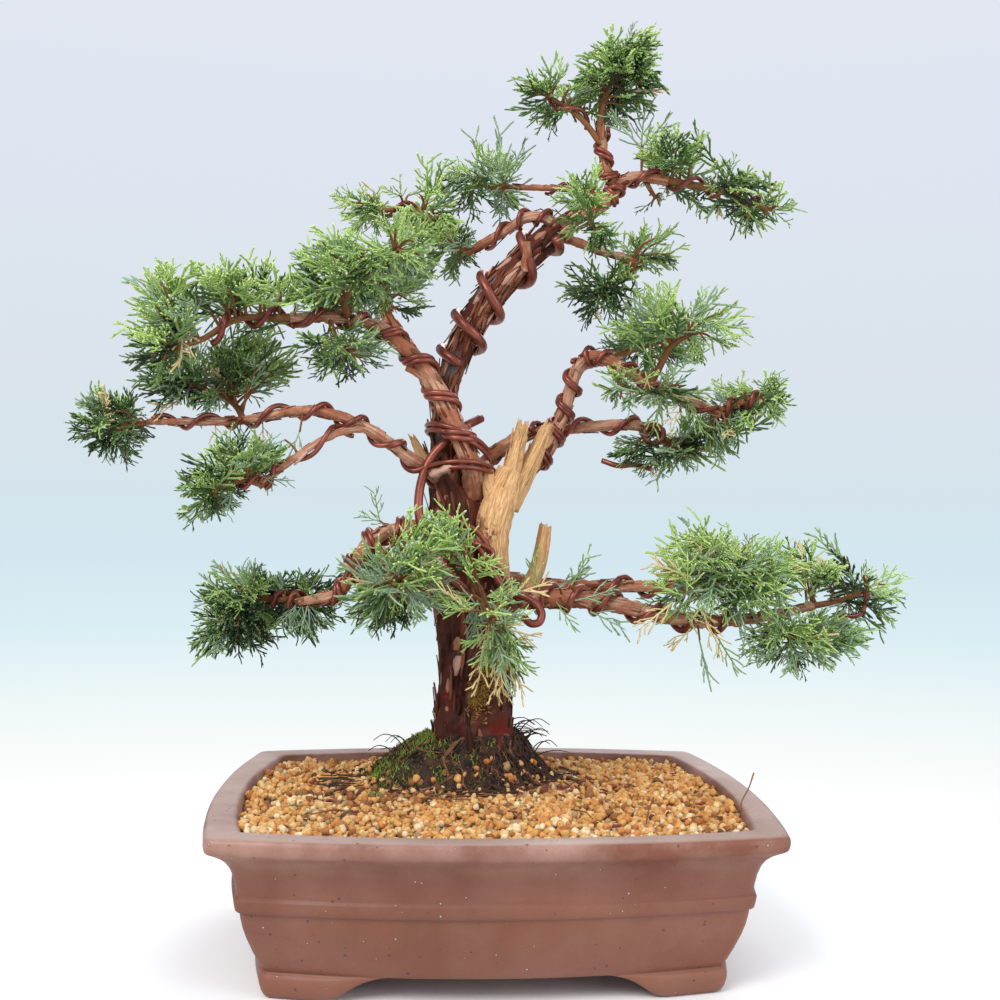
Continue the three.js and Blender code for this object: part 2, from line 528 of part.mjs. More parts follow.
// One spray: rings of three along its path, closed by a point, with teeth pulled out of the
// side faces. allows(from, to, radius) says which teeth have room.
function sprayGeometry(path, lengths, random, allows) {
  const samples = sampleLimb(path, 1);
  const points = samples.map((sample) => sample.point);
  const line = new THREE.CatmullRomCurve3(points, false, "centripetal");
  const stations = Array.from({ length: lengths + 1 }, (_, k) => ({
    point: line.getPoint(k / lengths),
    tangent: line.getTangent(k / lengths),
    radius: THREE.MathUtils.lerp(...twigRadius, k / lengths),
  }));
  const frames = carryFrames(stations);
  const corners = [];
  stations.forEach(({ point, radius }, k) => {
    for (let i = 0; i < 3; i++) {
      const angle = (i / 3) * 2 * Math.PI;
      corners.push(point.clone()
        .addScaledVector(frames[k][0], radius * Math.cos(angle))
        .addScaledVector(frames[k][1], radius * Math.sin(angle)));
    }
  });
  const index = [0, 2, 1];
  const spike = (a, b, c, tip) => {
    corners.push(tip);
    const t = corners.length - 1;
    index.push(a, b, t, b, c, t, c, a, t);
  };
  const tooth = (a, b, c, k, i, turn) => {
    const seat = corners[a].clone().add(corners[b]).add(corners[c]).divideScalar(3);
    const { tangent } = stations[k];
    const angle = ((i + 0.5) / 3) * 2 * Math.PI + turn;
    const out = frames[k][0].clone().multiplyScalar(Math.cos(angle))
      .addScaledVector(frames[k][1], Math.sin(angle));
    const length = THREE.MathUtils.lerp(...toothLength, random()) * (1 - (0.35 * k) / lengths);
    const lean = toothLean + 0.1 * (random() - 0.5);
    const heading = tangent.clone().multiplyScalar(Math.cos(lean)).addScaledVector(out, Math.sin(lean));
    const tip = [1, 0.75].map((share) => seat.clone().addScaledVector(heading, share * length))
      .find((place) => allows(seat.clone().addScaledVector(tangent, 1), place, 1.6));
    if (tip) spike(a, b, c, tip);
    else index.push(a, b, c);
  };
  for (let k = 0; k < lengths; k++) {
    const toothed = k >= lengths - toothedRings && k > 0;
    for (let i = 0; i < 3; i++) {
      const [a, b] = [3 * k + i, 3 * k + ((i + 1) % 3)];
      const [c, d] = [b + 3, a + 3];
      if (toothed) {
        tooth(a, b, c, k, i, toothSplay);
        tooth(a, c, d, k, i, -toothSplay);
      } else index.push(a, b, c, a, c, d);
    }
  }
  const last = 3 * lengths;
  const end = stations.at(-1);
  spike(last, last + 1, last + 2, end.point.clone().addScaledVector(end.tangent, 0.6 * toothLength[0]));
  const geometry = new THREE.BufferGeometry();
  const position = corners.flatMap((p) => p.toArray());
  geometry.setAttribute("position", new THREE.Float32BufferAttribute(position, 3));
  geometry.setIndex(index);
  return geometry;
}

// The seeded rule: sprays leave the stem for points spread evenly round each lobe, and the
// second of them reaches straight out from the trunk. A spray or a tooth that would leave the
// lobes or touch a limb, a wire or another mass is skipped.
function growMass(name, stemPath, lobes, seed) {
  const random = seededRow(seed);
  const solids = [toSolid(limbGeometry(stemPath, stemSides, 1))];
  const seats = sampleLimb(stemPath, 4).filter(({ point }) => isFree(point, point, 2, name));
  const within = (point) => lobes.some((lobe) => inLobe(point, lobe, 1.06));
  const inside = [];
  for (const lobe of lobes) {
    const [x, y, z, halfX, halfY, halfZ] = lobe;
    const outward = Math.atan2(y - trunkPath[0][1], x - trunkPath[0][0]);
    const count = Math.max(fewestSprays,
      Math.round(sprayDensity * (halfX * halfY + halfY * halfZ + halfZ * halfX)));
    for (let i = 0; i < count; i++) {
      const height = 1 - (2 * (i + 0.5)) / count;
      const turn = outward + (i - 1) * turnStep + turnScatter * (2 * random() - 1);
      const flat = Math.sqrt(1 - height * height);
      const reach = THREE.MathUtils.lerp(...tipReach, [random(), 1, 0][i % 3]);
      const target = new THREE.Vector3(
        x + reach * halfX * flat * Math.cos(turn),
        y + reach * halfY * flat * Math.sin(turn),
        z + reach * halfZ * height);
      const nearest = seats.reduce((best, next) => (
        next.point.distanceTo(target) < best.point.distanceTo(target) ? next : best));
      const span = nearest.point.distanceTo(target);
      const end = nearest.point.clone().lerp(target, Math.max(0.5, 1 - (0.6 * toothLength[0]) / span));
      const bend = nearest.point.clone().lerp(end, 0.5);
      bend.z += 0.1 * span;
      if (!isFree(nearest.point, bend, 1.9, name) || !isFree(bend, end, 1.6, name)) continue;
      if (inside.some((other) => pieceDistance({ from: bend, to: end }, other) < toothSpacing)) continue;
      const fresh = [{ from: bend, to: end }];
      const lengths = THREE.MathUtils.clamp(Math.round(span / sprayStep), ...sprayRings);
      const allows = (from, to, radius) => {
        if (!within(to) || !isFree(from, to, radius, name)) return false;
        const outer = { from: from.clone().lerp(to, 0.35), to };
        if (inside.some((other) => pieceDistance(outer, other) < toothSpacing)) return false;
        fresh.push(outer);
        taken.push({ from, to, radius, owner: name });
        return true;
      };
      const path = [nearest.point, bend, end].map((p) => [...p.toArray(), 1]);
      solids.push(toSolid(sprayGeometry(path, lengths, random, allows)));
      inside.push(...fresh);
      taken.push({ from: nearest.point, to: bend, radius: 1.9, owner: name });
      taken.push({ from: bend, to: target, radius: 1.7, owner: name });
    }
  }
  return solids.reduce((all, next) => all.add(next));
}

const bonsai = new THREE.Group();

function addPart(name, geometry, [colour, roughness]) {
  const material = new THREE.MeshStandardMaterial({ color: colour, roughness, metalness: 0 });
  const mesh = new THREE.Mesh(geometry, material);
  mesh.name = name;
  bonsai.add(mesh);
}

addPart("pot", makePot(), colours.clay);
addPart("grit", makeGrit(), colours.grit);
addPart("root_mound", makeMound(), colours.roots);
addPart("trunk", toGeometry(limbSolid("trunk")), colours.bark);
addTaken(trunkPath, "trunk", 3);

// Boughs are cut clear of the limb that carries them.
const boughSolids = new Map();
for (const [name, [carrier]] of Object.entries(boughs)) {
  let solid = limbSolid(name).subtract(limbSolid("trunk", gap));
  if (carrier !== "trunk") solid = solid.subtract(limbSolid(carrier, gap));
  for (const other of boughSolids.values()) solid = solid.subtract(other);
  boughSolids.set(name, limbSolid(name, gap));
  addPart(name, toGeometry(solid), colours.limb);
}

for (const [name, limbs] of Object.entries(deadwood)) {
  let solid = limbs.map((path) => toSolid(limbGeometry(path, deadSides, deadSteps)))
    .reduce((all, next) => all.add(next));
  solid = solid.subtract(limbSolid("trunk", gap));
  for (const other of boughSolids.values()) solid = solid.subtract(other);
  addPart(name, toGeometry(solid), colours.dead);
  limbs.forEach((path) => addTaken(path, name, 2));
}

const wiredLimbs = new Map(Object.values(wires).map(([limb, , , , radius]) => [limb, 2 * radius + 1]));
for (const [name, wire] of Object.entries(wires)) addPart(name, makeWire(wire), colours.wire);
for (const [name, [, path]] of Object.entries(boughs)) addTaken(path, name, 3, wiredLimbs.get(name) ?? 0);

for (const [name, [, stem]] of Object.entries(masses)) {
  taken.push(...sampleLimb(stem, 2).slice(1).map((sample, i, all) => ({
    from: (all[i - 1] ?? sample).point, to: sample.point, radius: sample.radius, owner: name,
  })));
}
let seed = 5;
for (const [name, [carrier, stem, lobes]] of Object.entries(masses)) {
  const solid = growMass(name, stem, lobes, seed).subtract(limbSolid(carrier, gap));
  addPart(name, toGeometry(solid), colours.leaf);
  seed += 7;
}

// The origin goes under the middle of the whole box, on the ground.
const box = new THREE.Box3().setFromObject(bonsai);
const middle = box.getCenter(new THREE.Vector3());
bonsai.position.set(-middle.x, -middle.y, -box.min.z);

export default bonsai;
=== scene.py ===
# Kishu juniper bonsai in a rectangular clay pot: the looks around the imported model.
import math
from functools import partial

import bpy
import numpy as np
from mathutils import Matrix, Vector, noise


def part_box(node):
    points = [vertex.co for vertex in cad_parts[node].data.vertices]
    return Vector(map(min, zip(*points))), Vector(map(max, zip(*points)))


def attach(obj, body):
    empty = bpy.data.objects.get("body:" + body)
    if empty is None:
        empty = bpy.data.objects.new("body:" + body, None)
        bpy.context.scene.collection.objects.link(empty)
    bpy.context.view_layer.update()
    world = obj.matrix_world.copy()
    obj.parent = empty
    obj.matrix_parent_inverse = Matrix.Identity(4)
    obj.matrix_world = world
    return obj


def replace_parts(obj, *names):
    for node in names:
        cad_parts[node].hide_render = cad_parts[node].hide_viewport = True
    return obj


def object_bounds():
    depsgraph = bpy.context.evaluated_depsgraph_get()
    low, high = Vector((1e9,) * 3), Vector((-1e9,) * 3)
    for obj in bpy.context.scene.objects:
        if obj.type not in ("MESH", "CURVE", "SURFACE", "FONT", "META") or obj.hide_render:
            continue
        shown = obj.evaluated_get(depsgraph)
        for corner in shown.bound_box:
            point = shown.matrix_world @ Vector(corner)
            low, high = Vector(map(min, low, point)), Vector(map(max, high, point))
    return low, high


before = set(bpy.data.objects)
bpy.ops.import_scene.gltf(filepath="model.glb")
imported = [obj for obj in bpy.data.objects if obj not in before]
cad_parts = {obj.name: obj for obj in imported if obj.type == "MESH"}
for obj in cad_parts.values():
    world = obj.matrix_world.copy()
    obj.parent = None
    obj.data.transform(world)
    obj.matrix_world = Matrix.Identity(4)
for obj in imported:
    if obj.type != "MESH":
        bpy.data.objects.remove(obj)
cadLow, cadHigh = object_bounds()

# The tables below are in millimetres about the middle of the pot, on the ground.
potLow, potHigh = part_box("pot")
potMiddle = np.array([(potLow.x + potHigh.x) / 2, (potLow.y + potHigh.y) / 2, 0.0])
mm = 0.001


def toFrame(points):
    return np.asarray(points, float) * mm + potMiddle


def srgb(red, green, blue):
    def linear(value):
        value /= 255
        return value / 12.92 if value <= 0.04045 else ((value + 0.055) / 1.055) ** 2.4
    return (linear(red), linear(green), linear(blue), 1.0)


def toned(colour, share, most=1.0):
    return (*(min(share * c, most) for c in colour[:3]), 1.0)


# Camera, light and floor

view = {
    "cameraAt": (-59, -901, 299),  # mm
    "cameraTurn": (91.03, -0.82, -4.145),  # degrees about X, Y and Z
    "focal": 1.247,  # of the sensor's width
    "sky": [  # the colour at each rise of the line of sight
        (-0.2, srgb(255, 255, 255)), (-0.17, srgb(247, 251, 250)), (-0.14, srgb(239, 248, 249)),
        (-0.08, srgb(218, 237, 244)), (-0.03, srgb(212, 231, 240)), (0.02, srgb(213, 228, 236)),
        (0.12, srgb(219, 228, 237)), (0.26, srgb(222, 229, 240)), (0.4, srgb(227, 231, 242)),
    ],
    "floor": (0.88, 0.885, 0.875),
    "floorRadius": 0.62,  # m
}


def addCamera():
    data = bpy.data.cameras.new("camera")
    data.sensor_width = 36.0
    data.lens = 36.0 * view["focal"]
    data.clip_start = 0.05
    camera = bpy.data.objects.new("camera", data)
    camera.location = Vector(toFrame(view["cameraAt"]))
    camera.rotation_euler = [math.radians(a) for a in view["cameraTurn"]]
    bpy.context.collection.objects.link(camera)
    bpy.context.scene.camera = camera


# place (m), size (m), power and colour
lights = {
    "key": ((-1.1, -1.5, 1.7), 1.3, 42, (1.0, 0.98, 0.95)),
    "fill": ((1.5, -1.2, 0.9), 1.4, 16, (0.94, 0.97, 1.0)),
    "back": ((0.5, 1.6, 1.6), 1.2, 18, (1.0, 1.0, 1.0)),
}
lightsAim = Vector((0, 0, 0.32))


def addLight(name, place, size, power, colour):
    data = bpy.data.lights.new(name, "AREA")
    data.shape = "DISK"
    data.size = size
    data.energy = power
    data.color = colour
    light = bpy.data.objects.new(name, data)
    light.location = place
    light.rotation_euler = (lightsAim - Vector(place)).to_track_quat("-Z", "Y").to_euler()
    bpy.context.collection.objects.link(light)


def setOrLink(tree, value, socket):
    # a number or a colour is set on the socket, a node's output is linked to it
    if isinstance(value, (int, float, tuple)):
        socket.default_value = value
    elif value is not None:
        tree.links.new(value, socket)


def rangeNode(tree, value, low, high, toLow=0.0, toHigh=1.0):
    node = tree.nodes.new("ShaderNodeMapRange")
    tree.links.new(value, node.inputs["Value"])
    for label, number in (("From Min", low), ("From Max", high), ("To Min", toLow), ("To Max", toHigh)):
        setOrLink(tree, number, node.inputs[label])
    return node.outputs["Result"]


def addWorld():
    world = bpy.data.worlds.new("studio")
    world.use_nodes = True
    tree = world.node_tree
    tree.nodes.clear()
    place = tree.nodes.new("ShaderNodeTexCoord")
    split = tree.nodes.new("ShaderNodeSeparateXYZ")
    tree.links.new(place.outputs["Generated"], split.inputs[0])
    ramp = tree.nodes.new("ShaderNodeValToRGB")
    low, high = view["sky"][0][0], view["sky"][-1][0]
    stops = ramp.color_ramp.elements
    for k, (rise, colour) in enumerate(view["sky"]):
        share = (rise - low) / (high - low)
        stop = stops[0] if k == 0 else stops[-1] if share == 1 else stops.new(share)
        stop.position = share
        stop.color = colour
    back = tree.nodes.new("ShaderNodeBackground")
    out = tree.nodes.new("ShaderNodeOutputWorld")
    tree.links.new(rangeNode(tree, split.outputs["Z"], low, high), ramp.inputs[0])
    tree.links.new(ramp.outputs[0], back.inputs["Color"])
    tree.links.new(back.outputs[0], out.inputs[0])
    bpy.context.scene.world = world


addCamera()
addWorld()
for name, values in lights.items():
    addLight(name, *values)
bpy.context.scene.view_settings.view_transform = "Standard"
print("camera, light and world made")


# Node groups that several materials share

def newGroup(name, outputs, **inputs):
    # inputs with their values; the socket named Vector is a vector, all others are numbers
    group = bpy.data.node_groups.new(name, "ShaderNodeTree")
    for way, labels in (("INPUT", inputs), ("OUTPUT", outputs)):
        for label in labels:
            kind = "NodeSocketVector" if label == "Vector" else "NodeSocketFloat"
            socket = group.interface.new_socket(label, in_out=way, socket_type=kind)
            if inputs.get(label) is not None:
                socket.default_value = inputs[label]
    return group, group.nodes.new("NodeGroupInput").outputs, group.nodes.new("NodeGroupOutput").inputs


def mathNode(tree, operation, a, b=None, clamp=False):
    node = tree.nodes.new("ShaderNodeMath")
    node.operation = operation
    node.use_clamp = clamp
    setOrLink(tree, a, node.inputs[0])
    setOrLink(tree, b, node.inputs[1])
    return node.outputs[0]


def timesNode(tree, a, b, clamp=False):
    return mathNode(tree, "MULTIPLY", a, b, clamp)


def noiseNode(tree, vector, scale, detail, rough):
    node = tree.nodes.new("ShaderNodeTexNoise")
    for label, value in (("Vector", vector), ("Scale", scale), ("Detail", detail), ("Roughness", rough)):
        setOrLink(tree, value, node.inputs[label])
    return node.outputs["Fac"]


def makeLimbSpace():
    # a limb's UV holds its turn (0 to 1) and its length (m); this wraps it round without a seam
    group, start, end = newGroup("limb space", ["Vector"], Around=1.0, Along=1.0)
    links = group.links
    uv = group.nodes.new("ShaderNodeUVMap")
    uv.uv_map = "limb"
    split = group.nodes.new("ShaderNodeSeparateXYZ")
    links.new(uv.outputs[0], split.inputs[0])
    turn = timesNode(group, split.outputs["X"], 2 * math.pi)
    across = timesNode(group, mathNode(group, "COSINE", turn), start["Around"])
    beside = timesNode(group, mathNode(group, "SINE", turn), start["Around"])
    along = timesNode(group, split.outputs["Y"], start["Along"])
    join = group.nodes.new("ShaderNodeCombineXYZ")
    for label, value in (("X", across), ("Y", beside), ("Z", along)):
        links.new(value, join.inputs[label])
    links.new(join.outputs[0], end["Vector"])
    return group


def makeFibre():
    # long streaks along a limb, with their own height
    group, start, end = newGroup("fibre", ["Mask", "Height"], Vector=None, Scale=4.0, Contrast=0.2)
    wide = noiseNode(group, start["Vector"], start["Scale"], 3.0, 0.5)
    fineScale = timesNode(group, start["Scale"], 3.7)
    fine = noiseNode(group, start["Vector"], fineScale, 5.0, 0.65)
    wide = timesNode(group, wide, 0.6)
    both = mathNode(group, "ADD", wide, timesNode(group, fine, 0.4))
    low = mathNode(group, "SUBTRACT", 0.5, start["Contrast"])
    high = mathNode(group, "ADD", 0.5, start["Contrast"])
    group.links.new(rangeNode(group, both, low, high), end["Mask"])
    group.links.new(both, end["Height"])
    return group


def makePatches():
    # soft uneven patches over part of a surface
    group, start, end = newGroup("patches", ["Mask"], Vector=None, Scale=10.0, Cover=0.5, Softness=0.1)
    spread = noiseNode(group, start["Vector"], start["Scale"], 6.0, 0.6)
    edge = mathNode(group, "SUBTRACT", 1.0, start["Cover"])
    low = mathNode(group, "SUBTRACT", edge, start["Softness"])
    high = mathNode(group, "ADD", edge, start["Softness"])
    group.links.new(rangeNode(group, spread, low, high), end["Mask"])
    return group


def makeSpecks():
    # small separate dots, a share of them shown
    group, start, end = newGroup("specks", ["Mask"], Vector=None, Scale=300.0, Size=0.2, Share=0.3)
    cells = group.nodes.new("ShaderNodeTexVoronoi")
    group.links.new(start["Vector"], cells.inputs["Vector"])
    group.links.new(start["Scale"], cells.inputs["Scale"])
    split = group.nodes.new("ShaderNodeSeparateColor")
    group.links.new(cells.outputs["Color"], split.inputs[0])
    shown = mathNode(group, "LESS_THAN", split.outputs[0], start["Share"])
    size = timesNode(group, start["Size"], mathNode(group, "ADD", split.outputs[1], 0.4))
    dot = mathNode(group, "LESS_THAN", cells.outputs["Distance"], size)
    group.links.new(timesNode(group, shown, dot), end["Mask"])
    return group


limbSpace, fibre, patches, specks = makeLimbSpace(), makeFibre(), makePatches(), makeSpecks()


# Materials

def newMaterial(name, colour, roughness=0.7, metallic=0.0):
    material = bpy.data.materials.new(name)
    material.use_nodes = True
    tree = material.node_tree
    shader = tree.nodes["Principled BSDF"]
    shader.inputs["Base Color"].default_value = colour
    shader.inputs["Roughness"].default_value = roughness
    shader.inputs["Metallic"].default_value = metallic
    material.diffuse_color = colour
    return material, tree, shader


def useGroup(tree, group, **values):
    node = tree.nodes.new("ShaderNodeGroup")
    node.node_tree = group
    for label, value in values.items():
        setOrLink(tree, value, node.inputs[label])
    return node


def mixColour(tree, mask, low, high):
    node = tree.nodes.new("ShaderNodeMix")
    node.data_type = "RGBA"
    tree.links.new(mask, node.inputs["Factor"])
    for label, value in (("A", low), ("B", high)):
        setOrLink(tree, value, [s for s in node.inputs if s.name == label and s.type == "RGBA"][0])
    return [s for s in node.outputs if s.type == "RGBA"][0]


def bumpFrom(tree, shader, height, strength, distance):
    bump = tree.nodes.new("ShaderNodeBump")
    bump.inputs["Strength"].default_value = strength
    bump.inputs["Distance"].default_value = distance
    tree.links.new(height, bump.inputs["Height"])
    tree.links.new(bump.outputs[0], shader.inputs["Normal"])


def placeVector(tree):
    return tree.nodes.new("ShaderNodeTexCoord").outputs["Object"]


def heightOf(tree, vector):
    split = tree.nodes.new("ShaderNodeSeparateXYZ")
    tree.links.new(vector, split.inputs[0])
    return split.outputs["Z"]


def patchMask(tree, vector, scale, cover, softness):
    return useGroup(tree, patches, Vector=vector, Scale=scale, Cover=cover, Softness=softness).outputs[0]


def nearPoint(tree, vector, points, reach):
    # 1 close to any of the points, 0 past the reach
    mask = None
    for point in points:
        away = tree.nodes.new("ShaderNodeVectorMath")
        away.operation = "DISTANCE"
        tree.links.new(vector, away.inputs[0])
        away.inputs[1].default_value = toFrame(point)
        one = rangeNode(tree, away.outputs["Value"], reach * mm, 0.4 * reach * mm)
        mask = one if mask is None else mathNode(tree, "MAXIMUM", mask, one)
    return mask


def makeBark(name, looks):
    material, tree, shader = newMaterial(name, looks["dark"], looks["roughness"])
    space = useGroup(tree, limbSpace, Around=looks["around"], Along=looks["along"]).outputs[0]
    place = placeVector(tree)
    strips = useGroup(tree, fibre, Vector=space, Scale=looks["stripScale"], Contrast=0.16)
    flakes = useGroup(tree, fibre, Vector=space, Scale=looks["stripScale"] * 0.45, Contrast=0.09)
    pale = patchMask(tree, place, 38.0, looks["paleCover"], 0.06)
    colour = mixColour(tree, strips.outputs["Mask"], looks["dark"], looks["middle"])
    colour = mixColour(tree, timesNode(tree, flakes.outputs["Mask"], 0.7), colour, looks["warm"])
    paleMask = timesNode(tree, pale, strips.outputs["Mask"])
    colour = mixColour(tree, timesNode(tree, paleMask, looks["paleShare"]), colour, looks["pale"])
    for spot in looks.get("spots", []):
        near = nearPoint(tree, place, spot["at"], spot["reach"])
        ragged = patchMask(tree, place, spot["scale"], 0.55, 0.08)
        mask = timesNode(tree, near, mathNode(tree, "ADD", ragged, spot["solid"]), clamp=True)
        colour = mixColour(tree, mask, colour, spot["colour"])
    if "foot" in looks:
        # darker towards the ground: painted shade under the boughs and foliage
        foot = looks["foot"]
        rise = rangeNode(tree, heightOf(tree, place), foot["top"] * mm, foot["low"] * mm)
        colour = mixColour(tree, timesNode(tree, rise, foot["share"]), colour, foot["colour"])
    tree.links.new(colour, shader.inputs["Base Color"])
    shader.inputs["Specular IOR Level"].default_value = 0.25
    bumpFrom(tree, shader, strips.outputs["Height"], 0.7, looks["bump"] * mm)
    return material


# marks on the bark: where they are (mm), how far they reach, the grain of their edge
woundPaste = {
    "colour": srgb(98, 90, 88), "reach": 14, "scale": 60.0, "solid": 0.55,
    "at": [(-1, 34, 474), (-33, 38, 419), (-39, 38, 371), (-39, 38, 360)],
}
oldMoss = {
    "colour": srgb(136, 106, 42), "reach": 9, "scale": 150.0, "solid": 0.1,
    "at": [(4, 12, 190), (-3, 14, 176), (9, 14, 202), (-9, 15, 170), (12, 14, 182)],
    "tufts": 620, "spread": (2.4, 0, 8), "size": (0.8, 1.7),
}
redPatch = {
    "colour": srgb(122, 34, 22), "reach": 12, "scale": 110.0, "solid": 0.2,
    "at": [(12, 17, 145), (-30, 22, 168)],
}

barkLooks = {
    "trunk": {
        "dark": srgb(38, 20, 15), "middle": srgb(90, 49, 37), "warm": srgb(106, 46, 28),
        "pale": srgb(164, 114, 96), "paleCover": 0.38, "paleShare": 0.6, "roughness": 0.85,
        "around": 1.0, "along": 7.0, "stripScale": 5.0, "bump": 2.2,
        "spots": [woundPaste, oldMoss, redPatch],
        # the foot: painted shade, the trunk darker towards the ground under the foliage
        "foot": {"top": 330, "low": 140, "share": 0.38, "colour": srgb(40, 17, 12)},
    },
    "bough": {
        "dark": srgb(88, 46, 33), "middle": srgb(174, 118, 90), "warm": srgb(164, 92, 58),
        "pale": srgb(220, 182, 156), "paleCover": 0.5, "paleShare": 0.75, "roughness": 0.8,
        "around": 1.0, "along": 18.0, "stripScale": 3.2, "bump": 0.8,
    },
    "twig": {
        "dark": srgb(84, 50, 30), "middle": srgb(152, 98, 60), "warm": srgb(118, 84, 50),
        "pale": srgb(188, 146, 102), "paleCover": 0.42, "paleShare": 0.5, "roughness": 0.85,
        "around": 1.0, "along": 60.0, "stripScale": 2.0, "bump": 0.2,
    },
}
trunkBark, boughBark, twigBark = (makeBark(kind + " bark", looks) for kind, looks in barkLooks.items())


def makeDeadWood():
    pale, middle, dark = srgb(236, 195, 140), srgb(198, 144, 90), srgb(108, 62, 34)
    material, tree, shader = newMaterial("dead wood", middle, 0.78)
    space = useGroup(tree, limbSpace, Around=1.0, Along=9.0).outputs[0]
    place = placeVector(tree)
    grain = useGroup(tree, fibre, Vector=space, Scale=7.0, Contrast=0.13)
    lines = useGroup(tree, fibre, Vector=space, Scale=15.0, Contrast=0.06)
    colour = mixColour(tree, grain.outputs["Mask"], middle, pale)
    cracks = mathNode(tree, "SUBTRACT", 1.0, lines.outputs["Mask"])
    colour = mixColour(tree, timesNode(tree, cracks, 0.45), colour, dark)
    rough = nearPoint(tree, place, [(-7, 20, 297), (-1, 16, 291)], 10)
    crumbs = patchMask(tree, place, 240.0, 0.5, 0.04)
    colour = mixColour(tree, timesNode(tree, rough, crumbs), colour, srgb(104, 54, 32))
    tree.links.new(colour, shader.inputs["Base Color"])
    bumpFrom(tree, shader, lines.outputs["Height"], 0.6, 1.0 * mm)
    return material


def makeWireMetal():
    dark, light = srgb(98, 45, 37), srgb(150, 82, 66)
    material, tree, shader = newMaterial("wire", dark, 0.33, 0.55)
    place = placeVector(tree)
    worn = patchMask(tree, place, 55.0, 0.5, 0.2)
    tree.links.new(mixColour(tree, worn, dark, light), shader.inputs["Base Color"])
    tree.links.new(rangeNode(tree, worn, 0, 1, 0.3, 0.44), shader.inputs["Roughness"])
    return material


clayLook = {
    "body": srgb(106, 59, 39), "ruddy": srgb(121, 66, 44), "roughness": (0.6, 0.42),
    "bloom": srgb(176, 139, 123), "bloomHeights": (82, 104), "bloomShares": (0.14, 0.72),  # lime, in clouds
    "foot": srgb(140, 92, 70), "footHeights": (64, 6), "footShare": 0.4,
    # the rim's flat top: painted sheen, pale grey as if it reflects the sky
    "rim": srgb(186, 163, 152), "rimSheenHeights": (106.9, 107.95), "rimSheenShare": 0.66,
    "fine": srgb(84, 48, 38), "pits": srgb(66, 40, 36), "dots": srgb(206, 184, 170),
}


def makeClay():
    looks = clayLook
    material, tree, shader = newMaterial("unglazed clay", looks["body"], 0.62)
    place = placeVector(tree)

    def byHeight(heights, low, high):
        return rangeNode(tree, heightOf(tree, place), heights[0] * mm, heights[1] * mm, low, high)

    wide = patchMask(tree, place, 7.0, 0.5, 0.18)
    colour = mixColour(tree, wide, looks["body"], looks["ruddy"])
    cloud = patchMask(tree, place, 13.0, 0.48, 0.12)
    bloom = timesNode(tree, cloud, byHeight(looks["bloomHeights"], *looks["bloomShares"]))
    colour = mixColour(tree, bloom, colour, looks["bloom"])
    colour = mixColour(tree, byHeight(looks["footHeights"], 0.0, looks["footShare"]), colour, looks["foot"])
    # painted sheen over the rim's top
    colour = mixColour(tree, byHeight(looks["rimSheenHeights"], 0.0, looks["rimSheenShare"]), colour, looks["rim"])
    fine = noiseNode(tree, place, 900.0, 4.0, 0.7)
    colour = mixColour(tree, rangeNode(tree, fine, 0.35, 0.75, 0.0, 0.24), colour, looks["fine"])
    pits = useGroup(tree, specks, Vector=place, Scale=260.0, Size=0.22, Share=0.16).outputs[0]
    colour = mixColour(tree, timesNode(tree, pits, 0.75), colour, looks["pits"])
    dots = useGroup(tree, specks, Vector=place, Scale=260.0, Size=0.13, Share=0.09).outputs[0]
    colour = mixColour(tree, timesNode(tree, dots, 0.7), colour, looks["dots"])
    tree.links.new(colour, shader.inputs["Base Color"])
    tree.links.new(rangeNode(tree, cloud, 0, 1, *looks["roughness"]), shader.inputs["Roughness"])
    height = mathNode(tree, "SUBTRACT", timesNode(tree, fine, 0.6), pits)
    bumpFrom(tree, shader, height, 0.35, 0.5 * mm)
    return material


def makeCrumbly(name, low, high, scale, bump):
    # soil, roots and grit: two colours in small patches
    material, tree, shader = newMaterial(name, low, 0.95)
    place = placeVector(tree)
    spread = patchMask(tree, place, scale, 0.5, 0.15)
    tree.links.new(mixColour(tree, spread, low, high), shader.inputs["Base Color"])
    bumpFrom(tree, shader, noiseNode(tree, place, scale * 4.0, 4.0, 0.7), 0.6, bump * mm)
    return material


deadWood, wireMetal, clay = makeDeadWood(), makeWireMetal(), makeClay()
cutMetal = newMaterial("cut wire end", srgb(228, 222, 218), 0.3, 0.7)[0]
print("materials made")


# Meshes from arrays

def addMesh(name, points, faces, material, uv=None, smooth=True):
    # faces is a list of arrays, one for each count of corners
    mesh = bpy.data.meshes.new(name)
    faces = [np.asarray(f, np.int32) for f in faces if len(f)]
    loops = np.concatenate([f.ravel() for f in faces])
    counts = np.concatenate([np.full(len(f), f.shape[1]) for f in faces])
    mesh.vertices.add(len(points))
    mesh.vertices.foreach_set("co", toFrame(points).astype(np.float32).ravel())
    mesh.loops.add(len(loops))
    mesh.loops.foreach_set("vertex_index", loops)
    mesh.polygons.add(len(counts))
    mesh.polygons.foreach_set("loop_start", np.concatenate([[0], np.cumsum(counts)[:-1]]).astype(np.int32))
    mesh.polygons.foreach_set("use_smooth", np.full(len(counts), smooth))
    mesh.update(calc_edges=True)
    if uv is not None:
        layer = mesh.uv_layers.new(name="limb")
        layer.data.foreach_set("uv", np.asarray(uv, np.float32).ravel())
    mesh.materials.append(material)
    mesh.validate()
    piece = bpy.data.objects.new(name, mesh)
    bpy.context.collection.objects.link(piece)
    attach(piece, "root")
    return piece


